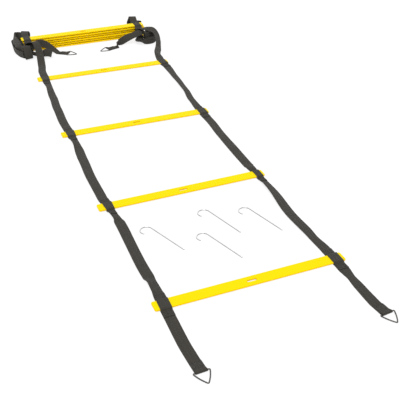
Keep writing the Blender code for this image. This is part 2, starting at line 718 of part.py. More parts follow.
bpy.context.view_layer.update()
depsgraph = bpy.context.evaluated_depsgraph_get()
spots = []
for part in ladder_parts.objects:
    if part.type != "EMPTY":
        shown = part.evaluated_get(depsgraph)
        spots += [shown.matrix_world @ vert.co for vert in shown.to_mesh().vertices]
        shown.to_mesh_clear()
low = Vector(min(spot[i] for spot in spots) for i in range(3))
high = Vector(max(spot[i] for spot in spots) for i in range(3))
ladder.location = -Vector(((low.x + high.x) / 2, (low.y + high.y) / 2, low.z))
bpy.context.view_layer.update()

size = high - low
print(f"overall size {size.x:.4f} x {size.y:.4f} x {size.z:.4f} m, lowest point {low.z:.5f}")
for thing in ladder_parts.objects:
    if thing.type == "EMPTY":
        print(f"{thing.name}: " + ", ".join(f"{c:.6f}" for c in thing.matrix_world.translation))
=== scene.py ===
# %% [markdown]
# # An agility ladder, dressed over its measured frame
#
# The ladder is flat plastic rungs sewn between two long straps of webbing. Four rungs are laid
# out, six lie folded on each other at the far end, and four wire pegs wait in the first bay.
# The frame below is the measured model. Every piece made here sits where that model says, and
# the sleeves, seams, rungs, rings and pegs move with one of its bodies.

# %% Load the frame
from itertools import accumulate
from math import asin, atan2, cos, degrees, pi, radians, sin

import bmesh
import bpy
from mathutils import Matrix, Quaternion, Vector


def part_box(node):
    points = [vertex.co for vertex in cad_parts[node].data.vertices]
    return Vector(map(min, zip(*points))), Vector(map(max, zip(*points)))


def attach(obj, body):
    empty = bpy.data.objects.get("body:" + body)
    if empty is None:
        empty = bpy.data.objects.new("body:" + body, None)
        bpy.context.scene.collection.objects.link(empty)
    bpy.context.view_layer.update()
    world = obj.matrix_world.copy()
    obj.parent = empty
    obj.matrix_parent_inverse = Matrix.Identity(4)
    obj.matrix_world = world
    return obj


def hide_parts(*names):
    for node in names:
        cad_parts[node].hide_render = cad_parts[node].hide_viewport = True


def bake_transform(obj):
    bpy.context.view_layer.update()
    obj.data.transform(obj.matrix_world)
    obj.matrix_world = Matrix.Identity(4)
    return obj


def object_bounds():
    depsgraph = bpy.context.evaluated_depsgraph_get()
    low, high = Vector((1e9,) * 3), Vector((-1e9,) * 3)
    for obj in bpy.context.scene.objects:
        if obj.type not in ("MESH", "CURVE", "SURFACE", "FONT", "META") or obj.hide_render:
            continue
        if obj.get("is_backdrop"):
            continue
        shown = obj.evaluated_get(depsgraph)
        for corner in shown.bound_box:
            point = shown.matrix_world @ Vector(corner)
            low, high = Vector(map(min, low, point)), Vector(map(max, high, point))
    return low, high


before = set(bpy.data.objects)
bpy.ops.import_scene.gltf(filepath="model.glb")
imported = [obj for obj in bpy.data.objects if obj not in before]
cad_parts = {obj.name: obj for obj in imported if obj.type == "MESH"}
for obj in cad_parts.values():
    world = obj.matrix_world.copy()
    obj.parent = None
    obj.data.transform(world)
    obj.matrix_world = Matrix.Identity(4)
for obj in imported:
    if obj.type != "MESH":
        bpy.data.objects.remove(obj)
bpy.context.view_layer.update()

scene = bpy.context.scene

# %% [markdown]
# ## Sizes
#
# These are the sizes that the ladder was measured to, in metres. The same rungs, webbing and wire
# are in the measured frame, so every piece below lands on it.
#
# Each row of a free run's table is a point on it: how far on, how far out and how high it lies,
# in widths of the webbing, and its lean in degrees if it leans. How far on a point of the lead
# to the stack lies is a share of the lead's length.

# %% Sizes
RUNG_LENGTH, RUNG_WIDTH, RUNG_THICKNESS = 0.434, 0.029, 0.004
RUNG_CORNER_RADIUS, RUNG_EDGE_ROUND = 0.0042, 0.0007
SLOT_LENGTH, SLOT_WIDTH = 0.022, 0.0066
RUNG_PITCH = 0.400
STACKED_RUNGS = (6, 7, 8, 9, 10, 5)
WEBBING_WIDTH, WEBBING_THICKNESS = 0.025, 0.0012
STRAP_SPREAD = RUNG_LENGTH / 2 - 0.020
PATCH_LENGTH, PATCH_SLOPE, PATCH_TRIM = 0.075, 0.005, 0.0008
FOLD_BACK, EYE_RUN_OUT = 0.028, 0.010
SEAT_GAP, POCKET_GAP, JOINT_GAP = 0.0003, 0.0002, 0.0003
HINGE_SETBACK = 0.0065
RING_WIRE, RING_BASE, RING_HEIGHT = 0.0028, 0.0355, 0.0325
RING_CORNER_RADIUS, RING_BOW = 0.0020, 0.0012
PEG_WIRE, PEG_SHANK, PEG_HOOK_RADIUS, PEG_HOOK_TURN = 0.0028, 0.116, 0.0145, 212.0
STACK_LEVEL = 0.0076
BAY_4_LENGTH, LEAD_LENGTH = 0.070, 0.1259
FOLD_NECK, FOLD_NECK_SHARE = 0.0014, 0.4
TAIL_LENGTH = 0.164
CLOTH_STEP = 0.004
PASS_STEPS = 3
FLOOR_STEP = 0.006
ARC_STEPS = 6

SIDES = {"left": -1, "right": 1}
ACROSS, UP = Vector((1, 0, 0)), Vector((0, 0, 1))
HALF_CLOTH = WEBBING_THICKNESS / 2
SLEEVE_HEIGHT = RUNG_THICKNESS + 2 * (WEBBING_THICKNESS + POCKET_GAP)
HINGE_REACH = PATCH_LENGTH / 2 + HINGE_SETBACK
EYE_RADIUS = RING_WIRE / 2 + SEAT_GAP + HALF_CLOTH
BAR_HEIGHT = EYE_RADIUS + HALF_CLOTH
RING_DROOP = asin((BAR_HEIGHT - RING_WIRE / 2) / RING_HEIGHT)
print("a sleeved rung is", round(SLEEVE_HEIGHT * 1000, 1), "mm high")

# %% How the ladder lies
RUNG_ALONG_SHARES = (0, 0.988, 1.990, 3.009)
RUNG_ASIDE_SHARES = (-0.027, -0.400, -0.378, 0.012)
RUNG_TURNS = (1.45, 1.06, -0.35, -1.28)
STACK_ASIDE_SHARES = (0.07, -0.10, 0.10, -0.03, 0.14, 0.02)
STACK_ALONG_SHARES = (0, 0.05, -0.03, 0.04, -0.05, 0.02)
STACK_TURNS = (-0.5, -0.2, -0.8, -0.3, -0.7, -0.9)
STRAP_WANDER_SHARES = {
    "left": ((-0.51, 0.24), (-0.37, 0.05), (-0.11, 0.08), (0.11, 0.12), (0.34, -0.02),
             (0.78, 0.06), (0.99, -0.22), (1.1, -0.36), (1.35, -0.44), (1.6, -0.3), (1.82, -0.14),
             (1.99, -0.22), (2.22, -0.32), (2.43, -0.22), (2.66, 0), (2.9, 0.18), (3.01, 0.2),
             (3.16, 0.3), (3.34, 0.68)),
    "right": ((-0.51, 0.34), (-0.37, 0.06), (-0.11, 0.04), (0, 0), (0.11, -0.04), (0.26, -0.24),
              (0.49, -0.4), (0.8, -0.2), (0.99, -0.26), (1.1, -0.36), (1.35, -0.42), (1.6, -0.4),
              (1.82, -0.26), (1.99, -0.33), (2.22, -0.28), (2.4, 0), (2.64, 0.12), (2.9, 0.3),
              (3.01, 0.12), (3.16, 0.36), (3.34, 1.24)),
}
LEAD_SHARES = {
    "left": ((0.78, -0.8, 0.3), (0.6, -0.9, 0.9), (0.44, -0.86, 1.6), (0.33, -0.76, 2),
             (0.25, -0.56, 2.12), (0.17, -0.3, 2.02), (0.08, -0.08, 1.72)),
    "right": ((0.858, 1.34, 0.56, -36), (0.691, 1.56, 1.12, -30), (0.477, 1.56, 1.6, -6),
              (0.294, 1.24, 1.8, 30), (0.159, 0.52, 1.8, 20), (0.052, 0.1, 1.68, 6)),
}
TOP_FOLD_SHARES = {
    "left": ((0.32, 0, 1.7), (1, -0.12, 1.8), (1.92, -0.36, 1.56), (2.88, -0.6, 1.08),
             (3.76, -0.76, 0.5), (4, -0.76, 0.2), (3.68, -0.68, 0.04), (2.4, -0.44, 0.04),
             (1.12, -0.16, 0.05), (0.4, 0, 0.18)),
    "right": ((0.32, 0, 1.76), (0.92, 0.04, 2.04), (1.6, 0.16, 1.8), (2.48, 0.32, 1.24),
              (3.44, 0.4, 0.52), (3.72, 0.4, 0.22), (3.44, 0.32, 0.04), (2.2, 0.16, 0.04),
              (1, 0.04, 0.05), (0.4, 0, 0.18)),
}
FRONT_FOLD_SHARES = {
    "left": (((0.36, -0.08, 0.3), (1, -0.56, 0.36), (1.55, -1.16, 0.48, 24),
              (1.95, -1.66, 0.66, 50), (2.3, -2.08, 0.76, 64), (2.6, -2.44, 0.72, 70)),
             ((0.4, 0.16, 1), (0.84, 0.42, 1.3), (1.2, 0.58, 1.66), (1.54, 0.58, 1.66),
              (1.8, 0.52, 1.24), (1.92, 0.47, 0.76), (1.96, 0.45, 0.34))),
    "right": (((0.6, -0.24, 0.34), (1.32, -0.6, 0.4), (2, -0.64, 0.44, 16), (2.44, -0.2, 0.5, 50),
               (2.5, 0.5, 0.52, 75), (2.3, 1.14, 0.52, 85), (1.8, 1.62, 0.53, 85),
               (1.1, 1.8, 0.54, 85), (0.44, 1.66, 0.6, 80), (0, 1.26, 0.72, 78),
               (-0.16, 0.86, 0.8, 78)),
              ((0.5, 0.1, 0.92), (0.86, 0.3, 1.14), (1.16, 0.52, 1.46), (1.4, 0.6, 1.3),
               (1.52, 0.58, 0.84), (1.56, 0.56, 0.38))),
}
BACK_FOLD_SHARES = {
    "left": (((0.5, 0.06, 0.58), (0.96, 0.5, 0.56, 20), (1.04, 1.16, 0.54, 50),
              (0.5, 1.66, 0.54, 75), (-0.6, 1.86, 0.54, 85), (-1.8, 1.82, 0.54, 85),
              (-2.8, 1.62, 0.54, 85), (-3.6, 1.36, 0.54, 85), (-4.2, 1, 0.54, 85)),
             ((0.5, 0.06, 1.2), (0.92, 0.44, 1.3, 20), (0.96, 1, 1.46, 50),
              (0.44, 1.42, 1.54, 75), (-0.6, 1.6, 1.58, 85), (-1.6, 1.54, 1.6, 85),
              (-2.5, 1.4, 1.58, 85), (-3.14, 1.22, 1.52, 76), (-3.56, 1.02, 1.34, 56),
              (-3.86, 0.88, 1.04, 34), (-4.02, 0.82, 0.6, 16))),
    "right": (((0.8, 0.04, 0.58), (1.68, 0.12, 0.42), (2.48, 0.2, 0.28)),
              ((0.72, 0.16, 1.2), (1.44, 0.6, 1.12), (2.16, 1.08, 0.84), (2.8, 1.4, 0.5))),
}
FRONT_TIP_SHARES = {"left": (0.1, 0.2), "right": (0.08, 0.24)}
BACK_TIP_SHARES = {"left": (0.16, 0.2), "right": (0.07, 0.1)}
TAIL_SHARES = {
    "left": ((0.24, 0, 1.42), (0.52, -0.04, 1.34, 4), (0.66, -0.4, 1.3, 24),
             (0.52, -0.92, 1.46, 46), (0.24, -1.4, 1.5, 58), (-0.04, -1.88, 1.3, 58),
             (-0.16, -2.34, 0.98, 50), (0.04, -2.86, 0.58, 38), (0.5, -3.34, 0.27, 14)),
    "right": ((0.44, -0.02, 1.45), (0.88, -0.24, 1.42, -4), (1.08, -0.8, 1.3, -24),
              (1.04, -1.5, 1.1, -40), (1.02, -2.3, 0.84, -44), (1.14, -3.1, 0.54, -40),
              (1.5, -3.9, 0.28, -20)),
}
TAIL_RING_SHARES = {"left": (1.76, -4.92), "right": (2.12, -5.32)}
BACK_RING_HEADINGS = {"left": -34.0, "right": 196.0}
TAIL_LENGTH_SHARES = {"left": 1.0, "right": 0.9}
FRONT_RING_HEADINGS = {"left": -86.0, "right": -82.0}

# %% [markdown]
# ## The camera
#
# The camera was found from the edges of the four laid-out rungs, whose straight lines give the
# picture's vanishing points. It is placed from the middle of the first rung, so it stays with the
# ladder. That rung lies a little aside of the ladder's middle line, and SHIFT is where the line
# starts in the frame. A longish lens keeps the far rungs from shrinking too fast.

# %% Camera
CAMERA_PLACE = Vector((-0.5436, -1.1819, 1.0122))
CAMERA_HEADING, CAMERA_DIP, CAMERA_ROLL = -20.898, 32.712, -0.526
CAMERA_LENS, CAMERA_SENSOR = 67.64, 36.0

low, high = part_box("rung_1")
middle = (low + high) / 2
SHIFT = Vector((middle.x - RUNG_ASIDE_SHARES[0] * RUNG_WIDTH, middle.y, 0))
camera_data = bpy.data.cameras.new("camera")
camera_data.sensor_width = CAMERA_SENSOR
camera_data.lens = CAMERA_LENS
camera = bpy.data.objects.new("camera", camera_data)
turn = (Matrix.Rotation(radians(CAMERA_HEADING), 4, "Z")
        @ Matrix.Rotation(radians(90 - CAMERA_DIP), 4, "X")
        @ Matrix.Rotation(radians(CAMERA_ROLL), 4, "Z"))
camera.matrix_world = Matrix.Translation(CAMERA_PLACE + SHIFT) @ turn
scene.collection.objects.link(camera)
scene.camera = camera
scene.view_settings.view_transform = "Standard"
print("camera at", [round(c, 4) for c in camera.location])

# %% [markdown]
# ## Floor and light
#
# The picture is a studio shot on white paper. A floor that only reflects light would need so much
# of it to look white that the ladder would burn out. So it glows a little for the camera and for
# mirror rays, and adds a weak grey reflection, which is what a shadow takes away. For every other
# ray it is plain white paper, which fills the shadows under the webbing.

# %% Node helpers


def fill(tree, node, *ordered, **named):
    """A node with its inputs fed, in order or by name, from sockets or with values."""
    feeds = list(enumerate(ordered))
    feeds += [(label.replace("_", " "), value) for label, value in named.items()]
    for label, value in feeds:
        if isinstance(value, bpy.types.NodeSocket):
            tree.links.new(value, node.inputs[label])
        else:
            node.inputs[label].default_value = value
    return node


def add_node(tree, kind, *ordered, **named):
    """A new shader node with its inputs fed."""
    return fill(tree, tree.nodes.new(f"ShaderNode{kind}"), *ordered, **named)


def maths(tree, operation, *terms, clamp=False):
    """What a math node makes of sockets or numbers."""
    node = tree.nodes.new("ShaderNodeMath")
    node.operation = operation
    node.use_clamp = clamp
    return fill(tree, node, *terms).outputs[0]


def scaled(tree, value, gain, more, clamp=False):
    """A value times a gain, and something more."""
    return maths(tree, "MULTIPLY_ADD", value, gain, more, clamp=clamp)


def bare_tree(holder):
    """The node tree of a material or a world, emptied."""
    holder.use_nodes = True
    holder.node_tree.nodes.clear()
    return holder.node_tree


def split_by_ray(tree, lighting, shown, end):
    """Ends a tree: one shader lights the ladder, the other is seen by camera and mirrors."""
    rays = add_node(tree, "LightPath").outputs
    direct = maths(tree, "MAXIMUM", rays["Is Camera Ray"], rays["Is Glossy Ray"])
    direct = maths(tree, "MAXIMUM", direct, rays["Is Transmission Ray"])
    mix = add_node(tree, "MixShader", direct, lighting.outputs[0], shown.outputs[0])
    add_node(tree, end, Surface=mix.outputs[0])


# %% Floor
FLOOR_RADIUS, FLOOR_SIDES, FLOOR_DROP = 9.0, 96, 0.0003
GLOW_COLOUR, GLOW_STRENGTH = (1.0, 0.995, 1.0, 1), 0.80
SHADOWED_GREY, PAPER_GREY = 0.24, 0.80

paper = bpy.data.materials.new("white paper")
tree = bare_tree(paper)
glow = add_node(tree, "Emission", Color=GLOW_COLOUR, Strength=GLOW_STRENGTH)
grey, white = (add_node(tree, "BsdfDiffuse", Color=(level, level, level, 1))
               for level in (SHADOWED_GREY, PAPER_GREY))
split_by_ray(tree, white, add_node(tree, "AddShader", glow.outputs[0], grey.outputs[0]),
             "OutputMaterial")

floor_mesh = bpy.data.meshes.new("paper_floor")
bm = bmesh.new()
bmesh.ops.create_circle(bm, cap_ends=True, segments=FLOOR_SIDES, radius=FLOOR_RADIUS)
bmesh.ops.translate(bm, verts=bm.verts, vec=(0, 0, -FLOOR_DROP))
bm.to_mesh(floor_mesh)
bm.free()
floor_mesh.materials.append(paper)
floor = bpy.data.objects.new("paper_floor", floor_mesh)
scene.collection.objects.link(floor)
floor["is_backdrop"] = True
print("floor:", FLOOR_RADIUS, "m in radius")

# %% Light
SKY_STRENGTH, BACKDROP_STRENGTH, KEY_STRENGTH = 0.66, 1.0, 1.60
KEY_SPREAD, KEY_TURNS = 50, (28, -16, 0)

scene.world = bpy.data.worlds.new("studio")
tree = bare_tree(scene.world)
sky, backdrop = (add_node(tree, "Background", Color=(1.0, 1.0, 1.0, 1), Strength=strength)
                 for strength in (SKY_STRENGTH, BACKDROP_STRENGTH))
split_by_ray(tree, sky, backdrop, "OutputWorld")

key_data = bpy.data.lights.new("soft_key", "SUN")
key_data.energy = KEY_STRENGTH
key_data.angle = radians(KEY_SPREAD)
key = bpy.data.objects.new("soft_key", key_data)
key.rotation_euler = [radians(turn) for turn in KEY_TURNS]
scene.collection.objects.link(key)
print("sky", SKY_STRENGTH, "key", KEY_STRENGTH)

# %% [markdown]
# ## Finishes
#
# Three effects are used by more than one finish, so each is a node group that is built once: the
# weave of the webbing, a slow patchy variation, and a fine grain. They take their place on the
# surface as a vector, and give out masks and heights. What is the same all over a surface, such
# as how metallic it is, is set on the shader itself.

# %% Finish helpers


def new_group(name, vector, numbers, masks):
    """A node group fed by a vector and numbers: the group, its inputs and its output node."""
    group = bpy.data.node_groups.new(name, "ShaderNodeTree")
    group.interface.new_socket(vector, in_out="INPUT", socket_type="NodeSocketVector")
    for label, value in numbers.items():
        socket = group.interface.new_socket(label, in_out="INPUT", socket_type="NodeSocketFloat")
        socket.default_value = value
    for label in masks:
        group.interface.new_socket(label, in_out="OUTPUT", socket_type="NodeSocketFloat")
    return group, group.nodes.new("NodeGroupInput").outputs, group.nodes.new("NodeGroupOutput")


def place_group(tree, group, **values):
    """What a group placed in a material gives out, with its named inputs fed."""
    node = tree.nodes.new("ShaderNodeGroup")
    node.node_tree = group
    return fill(tree, node, **values).outputs


def tint(tree, mask, dark, light):
    """A colour that goes from dark to light with a mask."""
    mix = tree.nodes.new("ShaderNodeMix")
    mix.data_type = "RGBA"
    return fill(tree, mix, Factor=mask, A=dark, B=light).outputs["Result"]


def noise_mask(tree, vector, scale, detail, sharpness, middle=0.5):
    """Noise, spread about a middle value and kept from 0 to 1."""
    noise = add_node(tree, "TexNoise", Vector=vector, Scale=scale, Detail=detail)
    centred = maths(tree, "SUBTRACT", noise.outputs["Fac"], middle)
    return scaled(tree, centred, sharpness, 0.5, clamp=True)


def lay_map(tree):
    """Distances across and along a strip, from its UV map."""
    node = tree.nodes.new("ShaderNodeUVMap")
    node.uv_map = "lay"
    return node.outputs[0]


def bump_from(tree, height, distance, strength=1.0):
    """The normal of a surface with a bump."""
    return add_node(tree, "Bump", Height=height, Distance=distance, Strength=strength).outputs[0]


def start_finish(name):
    """A material, its node tree and its Principled shader."""
    material = bpy.data.materials.new(name)
    tree = bare_tree(material)
    shader = add_node(tree, "BsdfPrincipled")
    add_node(tree, "OutputMaterial", Surface=shader.outputs[0])
    return material, tree, shader


# %% [markdown]
# ### The weave
#
# Strap webbing is a narrow cloth woven as a herringbone: fine ribs run slantwise, and turn about
# at each column. A wave image would need a picture, so the ribs are worked out from the distances
# along and across the strap, which each strip of webbing carries in its UV map in metres. The
# ribs are the height of a bump, and a mask paints shade into the gaps between them and a
# highlight onto their crests.

# %% Weave group
GROOVE_SHARE, GROOVE_SHARPNESS, RIB_FULLNESS = 0.4, 6.0, 0.7
SELVEDGE_SHARPNESS, SELVEDGE_START = 12.0, -10.6

weave, into, outof = new_group("herringbone weave", "Lay",
                               {"Column": 0.0042, "Rib": 0.0011, "Half Width": 0.0125},
                               ("Height", "Thread", "Edge"))
across, along, ignored = add_node(weave, "SeparateXYZ", into["Lay"]).outputs
slant = maths(weave, "PINGPONG", across, into["Column"])
phase = maths(weave, "DIVIDE", maths(weave, "ADD", along, slant), into["Rib"])
wave = maths(weave, "SINE", maths(weave, "MULTIPLY", phase, 2 * pi))
rib = scaled(weave, wave, 0.5, 0.5)
valley = maths(weave, "PINGPONG", maths(weave, "DIVIDE", slant, into["Column"]), 0.5)
groove = maths(weave, "MULTIPLY", valley, GROOVE_SHARPNESS, clamp=True)
depth = scaled(weave, groove, GROOVE_SHARE, 1 - GROOVE_SHARE)
# Painted light: this mask is painted shade in the gaps between the ribs and a painted highlight on
# their crests.
thread = maths(weave, "MULTIPLY", rib, depth)
reach = maths(weave, "DIVIDE", maths(weave, "ABSOLUTE", across), into["Half Width"])
fill(weave, outof, Height=maths(weave, "POWER", thread, RIB_FULLNESS), Thread=thread,
     Edge=scaled(weave, reach, SELVEDGE_SHARPNESS, SELVEDGE_START, clamp=True))
print("weave:", len(weave.nodes), "nodes")

# %% Patchy variation and grain groups
patchy, into, outof = new_group("patchy variation", "Place",
                                {"Size Scale": 14.0, "Strength": 1.0}, ("Patches",))
broad = noise_mask(patchy, into["Place"], into["Size Scale"], detail=4.0, sharpness=1.6)
centred = maths(patchy, "SUBTRACT", broad, 0.5)
fill(patchy, outof,
     Patches=scaled(patchy, centred, into["Strength"], 0.5, clamp=True))

grain, into, outof = new_group("fine grain", "Place",
                               {"Grain Scale": 900.0, "Scratch Scale": 60.0},
                               ("Grain", "Scratches"))
stretch = add_node(grain, "Mapping", Vector=into["Place"], Scale=(1.0, 14.0, 14.0))
fill(grain, outof,
     Grain=noise_mask(grain, into["Place"], into["Grain Scale"], detail=2.0, sharpness=1.4),
     Scratches=noise_mask(grain, stretch.outputs[0], into["Scratch Scale"], detail=5.0,
                          sharpness=8.0, middle=0.66))
print("groups:", bpy.data.node_groups.keys())

# %% [markdown]
# ### Webbing, thread, plastic and wire
#
# The webbing is charcoal polyester: matt and a little lighter where it has rubbed, with a painted
# highlight on the crests of its ribs and painted shade between them. The rungs are moulded in
# bright yellow with a low sheen, and their sides get painted shade in a deeper orange. The rings
# are bright plated wire, coloured dark as a painted reflection of dark surroundings, and the pegs
# duller zinc plate; both have a painted highlight on top and painted shade below.

# %% Webbing finish
STRAP_DARK, STRAP_LIGHT = (0.0265, 0.0240, 0.0194, 1), (0.0640, 0.0580, 0.0480, 1)
PAINTED_CREST_SHARE, PATCH_SHARE, EDGE_SHARE = 0.55, 0.45, 0.12
RIB_BUMP = 0.00022

webbing_finish, tree, shader = start_finish("charcoal_webbing")
lay = lay_map(tree)
woven = place_group(tree, weave, Lay=lay)
worn = place_group(tree, patchy, Place=lay, Size_Scale=22.0, Strength=0.8)["Patches"]
# Painted highlight on the rib crests and painted shade between them, added to the real patchy wear
# and the rubbed selvedge.
painted_crest_highlight = maths(tree, "MULTIPLY", woven["Thread"], PAINTED_CREST_SHARE)
patches_and_painted_crest = scaled(tree, worn, PATCH_SHARE, painted_crest_highlight)
wear_and_painted_crest = scaled(tree, woven["Edge"], EDGE_SHARE, patches_and_painted_crest, clamp=True)
fill(tree, shader, Base_Color=tint(tree, wear_and_painted_crest, STRAP_DARK, STRAP_LIGHT),
     Roughness=scaled(tree, woven["Thread"], -0.12, 0.92),
     Specular_IOR_Level=0.22, Sheen_Weight=0.08, Sheen_Roughness=0.5,
     Normal=bump_from(tree, woven["Height"], RIB_BUMP, 0.9))

# %% Thread finish
THREAD_DARK, THREAD_LIGHT = (0.020, 0.019, 0.017, 1), (0.062, 0.060, 0.054, 1)
PLY_PITCH, PLY_COLUMN, PLY_BUMP = 0.0006, 0.05, 0.00008

thread_finish, tree, shader = start_finish("sewing_thread")
plies = place_group(tree, weave, Lay=lay_map(tree), Rib=PLY_PITCH, Column=PLY_COLUMN)
# The plies' mask paints shade between the plies and a highlight on their crests.
fill(tree, shader, Base_Color=tint(tree, plies["Thread"], THREAD_DARK, THREAD_LIGHT),
     Roughness=scaled(tree, plies["Thread"], -0.2, 0.65),
     Normal=bump_from(tree, plies["Height"], PLY_BUMP))

# %% Plastic finish
YELLOW_DEEP, YELLOW_PALE = (0.985, 0.735, 0.0, 1), (1.0, 0.790, 0.0, 1)
YELLOW_PAINTED_SIDE_SHADE = (1.0, 0.64, 0.0, 1)
GRAIN_BUMP = 0.00003

plastic_finish, tree, shader = start_finish("yellow_plastic")
spot = add_node(tree, "TexCoord").outputs
patches = place_group(tree, patchy, Place=spot["Object"], Size_Scale=9.0, Strength=0.7)["Patches"]
moulded = place_group(tree, grain, Place=spot["Object"], Grain_Scale=1400.0, Scratch_Scale=34.0)
# Painted shade: faces that point neither up nor down, the rungs' sides, are tinted a deeper orange
# than the tops.
upright = maths(tree, "ABSOLUTE", add_node(tree, "SeparateXYZ", spot["Normal"]).outputs["Z"])
level = scaled(tree, upright, 1.25, -0.25, clamp=True)
flat = tint(tree, patches, YELLOW_DEEP, YELLOW_PALE)
scuffed = scaled(tree, moulded["Scratches"], 0.10, 0.36)
height = scaled(tree, moulded["Scratches"], -0.8, moulded["Grain"])
fill(tree, shader, Base_Color=tint(tree, level, YELLOW_PAINTED_SIDE_SHADE, flat),
     Roughness=scaled(tree, patches, 0.08, scuffed), Specular_IOR_Level=0.05,
     Normal=bump_from(tree, height, GRAIN_BUMP, 0.5))

# %% Wire finishes
WIRE_BUMP = 0.00002


def wire_finish(name, painted_shade_below, upper, smooth, rough):
    """Plated wire with painted light: a painted highlight where it faces up, painted shade below.
    """
    material, tree, shader = start_finish(name)
    place = add_node(tree, "TexCoord").outputs["Object"]
    bloom = place_group(tree, patchy, Place=place, Size_Scale=60.0, Strength=1.2)["Patches"]
    marks = place_group(tree, grain, Place=place, Grain_Scale=2600.0)["Grain"]
    # Painted light: the colour goes from painted shade on faces that point down to a painted
    # highlight on faces that point up, varied a little by the patchy bloom.
    facing = add_node(tree, "SeparateXYZ", add_node(tree, "NewGeometry").outputs["Normal"])
    painted_top_highlight = scaled(tree, facing.outputs["Z"], 1.6, -0.45, clamp=True)
    shown = scaled(tree, bloom, 0.2, painted_top_highlight, clamp=True)
    fill(tree, shader, Base_Color=tint(tree, shown, painted_shade_below, upper), Metallic=1.0,
         Roughness=scaled(tree, bloom, rough - smooth, smooth),
         Normal=bump_from(tree, marks, WIRE_BUMP, 0.5))
    return material


# Painted reflection: the ring's colours are dark, standing for dark surroundings that bright plate
# would reflect; the pegs' light top colour is a painted highlight.
ring_finish = wire_finish("bright_plated_wire", (0.026, 0.025, 0.022, 1),
                          (0.125, 0.122, 0.114, 1), 0.16, 0.32)
peg_finish = wire_finish("zinc_plated_wire", (0.10, 0.10, 0.10, 1), (0.86, 0.86, 0.86, 1),
                         0.24, 0.40)
print("materials:", bpy.data.materials.keys())

# %% [markdown]
# ## Webbing
#
# A strap is one long ribbon, so it is swept: at each station along its way there is a point, and
# the direction of its width. The ribbon's section is a flat band with rounded woven edges. The
# stations are taken from smooth curves through a few given points, and the ribbon is
# carried along them without more twist than it needs, which is how webbing lies.

# %% Smooth ways


def ease(t):
    """From 0 to 1, slow at both ends."""
    return t * t * (3 - 2 * t)


def towards(heading):
    """A level direction, from its angle in degrees."""
    return Vector((cos(radians(heading)), sin(radians(heading)), 0))


def smooth_route(points, step):
    """Points about a step apart on a smooth curve through the given points."""
    points = [Vector(p) for p in points]
    last = len(points) - 1
    slopes = []
    for i, point in enumerate(points):
        before, after = points[max(i - 1, 0)], points[min(i + 1, last)]
        slopes.append((after - before) / ((point - before).length + (after - point).length))
    route = [points[0]]
    for i, (start, end) in enumerate(zip(points, points[1:])):
        chord = (end - start).length
        pieces = max(1, round(chord / step))
        for t in (k / pieces for k in range(1, pieces + 1)):
            swing_out, swing_in = chord * t * (1 - t) ** 2, chord * t * t * (t - 1)
            route.append(start.lerp(end, ease(t)) + slopes[i] * swing_out
                         + slopes[i + 1] * swing_in)
    return route


def distances(route):
    """How far along a route each of its points is."""
    return list(accumulate(((b - a).length for a, b in zip(route, route[1:])), initial=0))


def tangent_at(route, i):
    """The direction of a route at one of its points."""
    return (route[min(i + 1, len(route) - 1)] - route[max(i - 1, 0)]).normalized()


def carried_stations(route, start, end=None, leans=None):
    """Stations of a strip that bends but twists no more than it has to between its ends."""
    across = start
    stations = []
    for i, point in enumerate(route):
        tangent = tangent_at(route, i)
        across = (across - tangent * across.dot(tangent)).normalized()
        stations.append((point, across, tangent))
    twist = 0
    if end is not None:
        last = end - tangent * end.dot(tangent)
        twist = atan2(across.cross(last).dot(tangent), across.dot(last))
    turned = []
    for i, (point, across, tangent) in enumerate(stations):
        lean = twist * i / (len(stations) - 1) + radians(leans[i] if leans else 0)
        turned.append((point, Quaternion(tangent, lean) @ across))
    return turned


def leaning_run(points, leans, start, end=None):
    """Stations of a strip through a few points, with a lean in degrees at each of them."""
    route = smooth_route(points, CLOTH_STEP)
    track = []
    for spot in route:
        near, far = sorted(range(len(points)), key=lambda i: (points[i] - spot).length)[:2]
        to_near, to_far = (points[near] - spot).length, (points[far] - spot).length
        track.append((leans[near] * to_far + leans[far] * to_near) / (to_near + to_far))
    return carried_stations(route, start, end, track)


def eased(table, along, unit=1):
    """A value between rows of a table of places along the ladder, eased at each row."""
    for (a0, v0), (a1, v1) in zip(table, table[1:]):
        if along <= a1 * RUNG_PITCH:
            return (v0 + (v1 - v0) * ease((along / RUNG_PITCH - a0) / (a1 - a0))) * unit
    return table[-1][1] * unit


def strap_aside(side, along):
    """Where a strap's middle lies across the ladder, at a place along it."""
    return SIDES[side] * STRAP_SPREAD + eased(STRAP_WANDER_SHARES[side], along, WEBBING_WIDTH)


# %% Ribbon
HALF_SECTION = ((-0.5, 0), (-0.490, 0.32), (-0.465, 0.47), (-0.25, 0.5), (0, 0.5), (0.25, 0.5),
                (0.465, 0.47), (0.490, 0.32))
BAND_SECTION = HALF_SECTION + tuple((-u, -n) for u, n in HALF_SECTION)


def show(name, bm, finish):
    """A finished mesh as an object of the scene."""
    bmesh.ops.recalc_face_normals(bm, faces=bm.faces)
    mesh = bpy.data.meshes.new(name)
    bm.to_mesh(mesh)
    bm.free()
    mesh.shade_smooth()
    mesh.materials.append(finish)
    piece = bpy.data.objects.new(name, mesh)
    scene.collection.objects.link(piece)
    return piece


def skin(bm, rings, lay_across, lay_along, closed=False):
    """Faces between rings of vertices, with a UV map in metres, and ends if it isn't closed."""
    lay = bm.loops.layers.uv.get("lay") or bm.loops.layers.uv.new("lay")
    count = len(rings[0])
    for i, (ring, after) in enumerate(zip(rings, rings[1:] + rings[:1] if closed else rings[1:])):
        for k in range(count):
            n = (k + 1) % count
            face = bm.faces.new((ring[k], ring[n], after[n], after[k]))
            for loop, (a, b) in zip(face.loops, ((k, i), (k + 1, i), (k + 1, i + 1), (k, i + 1))):
                loop[lay].uv = (lay_across[a], lay_along[b])
    if not closed:
        for end in (0, -1):
            for k, loop in enumerate(bm.faces.new(rings[end]).loops):
                loop[lay].uv = (lay_across[k], lay_along[end])


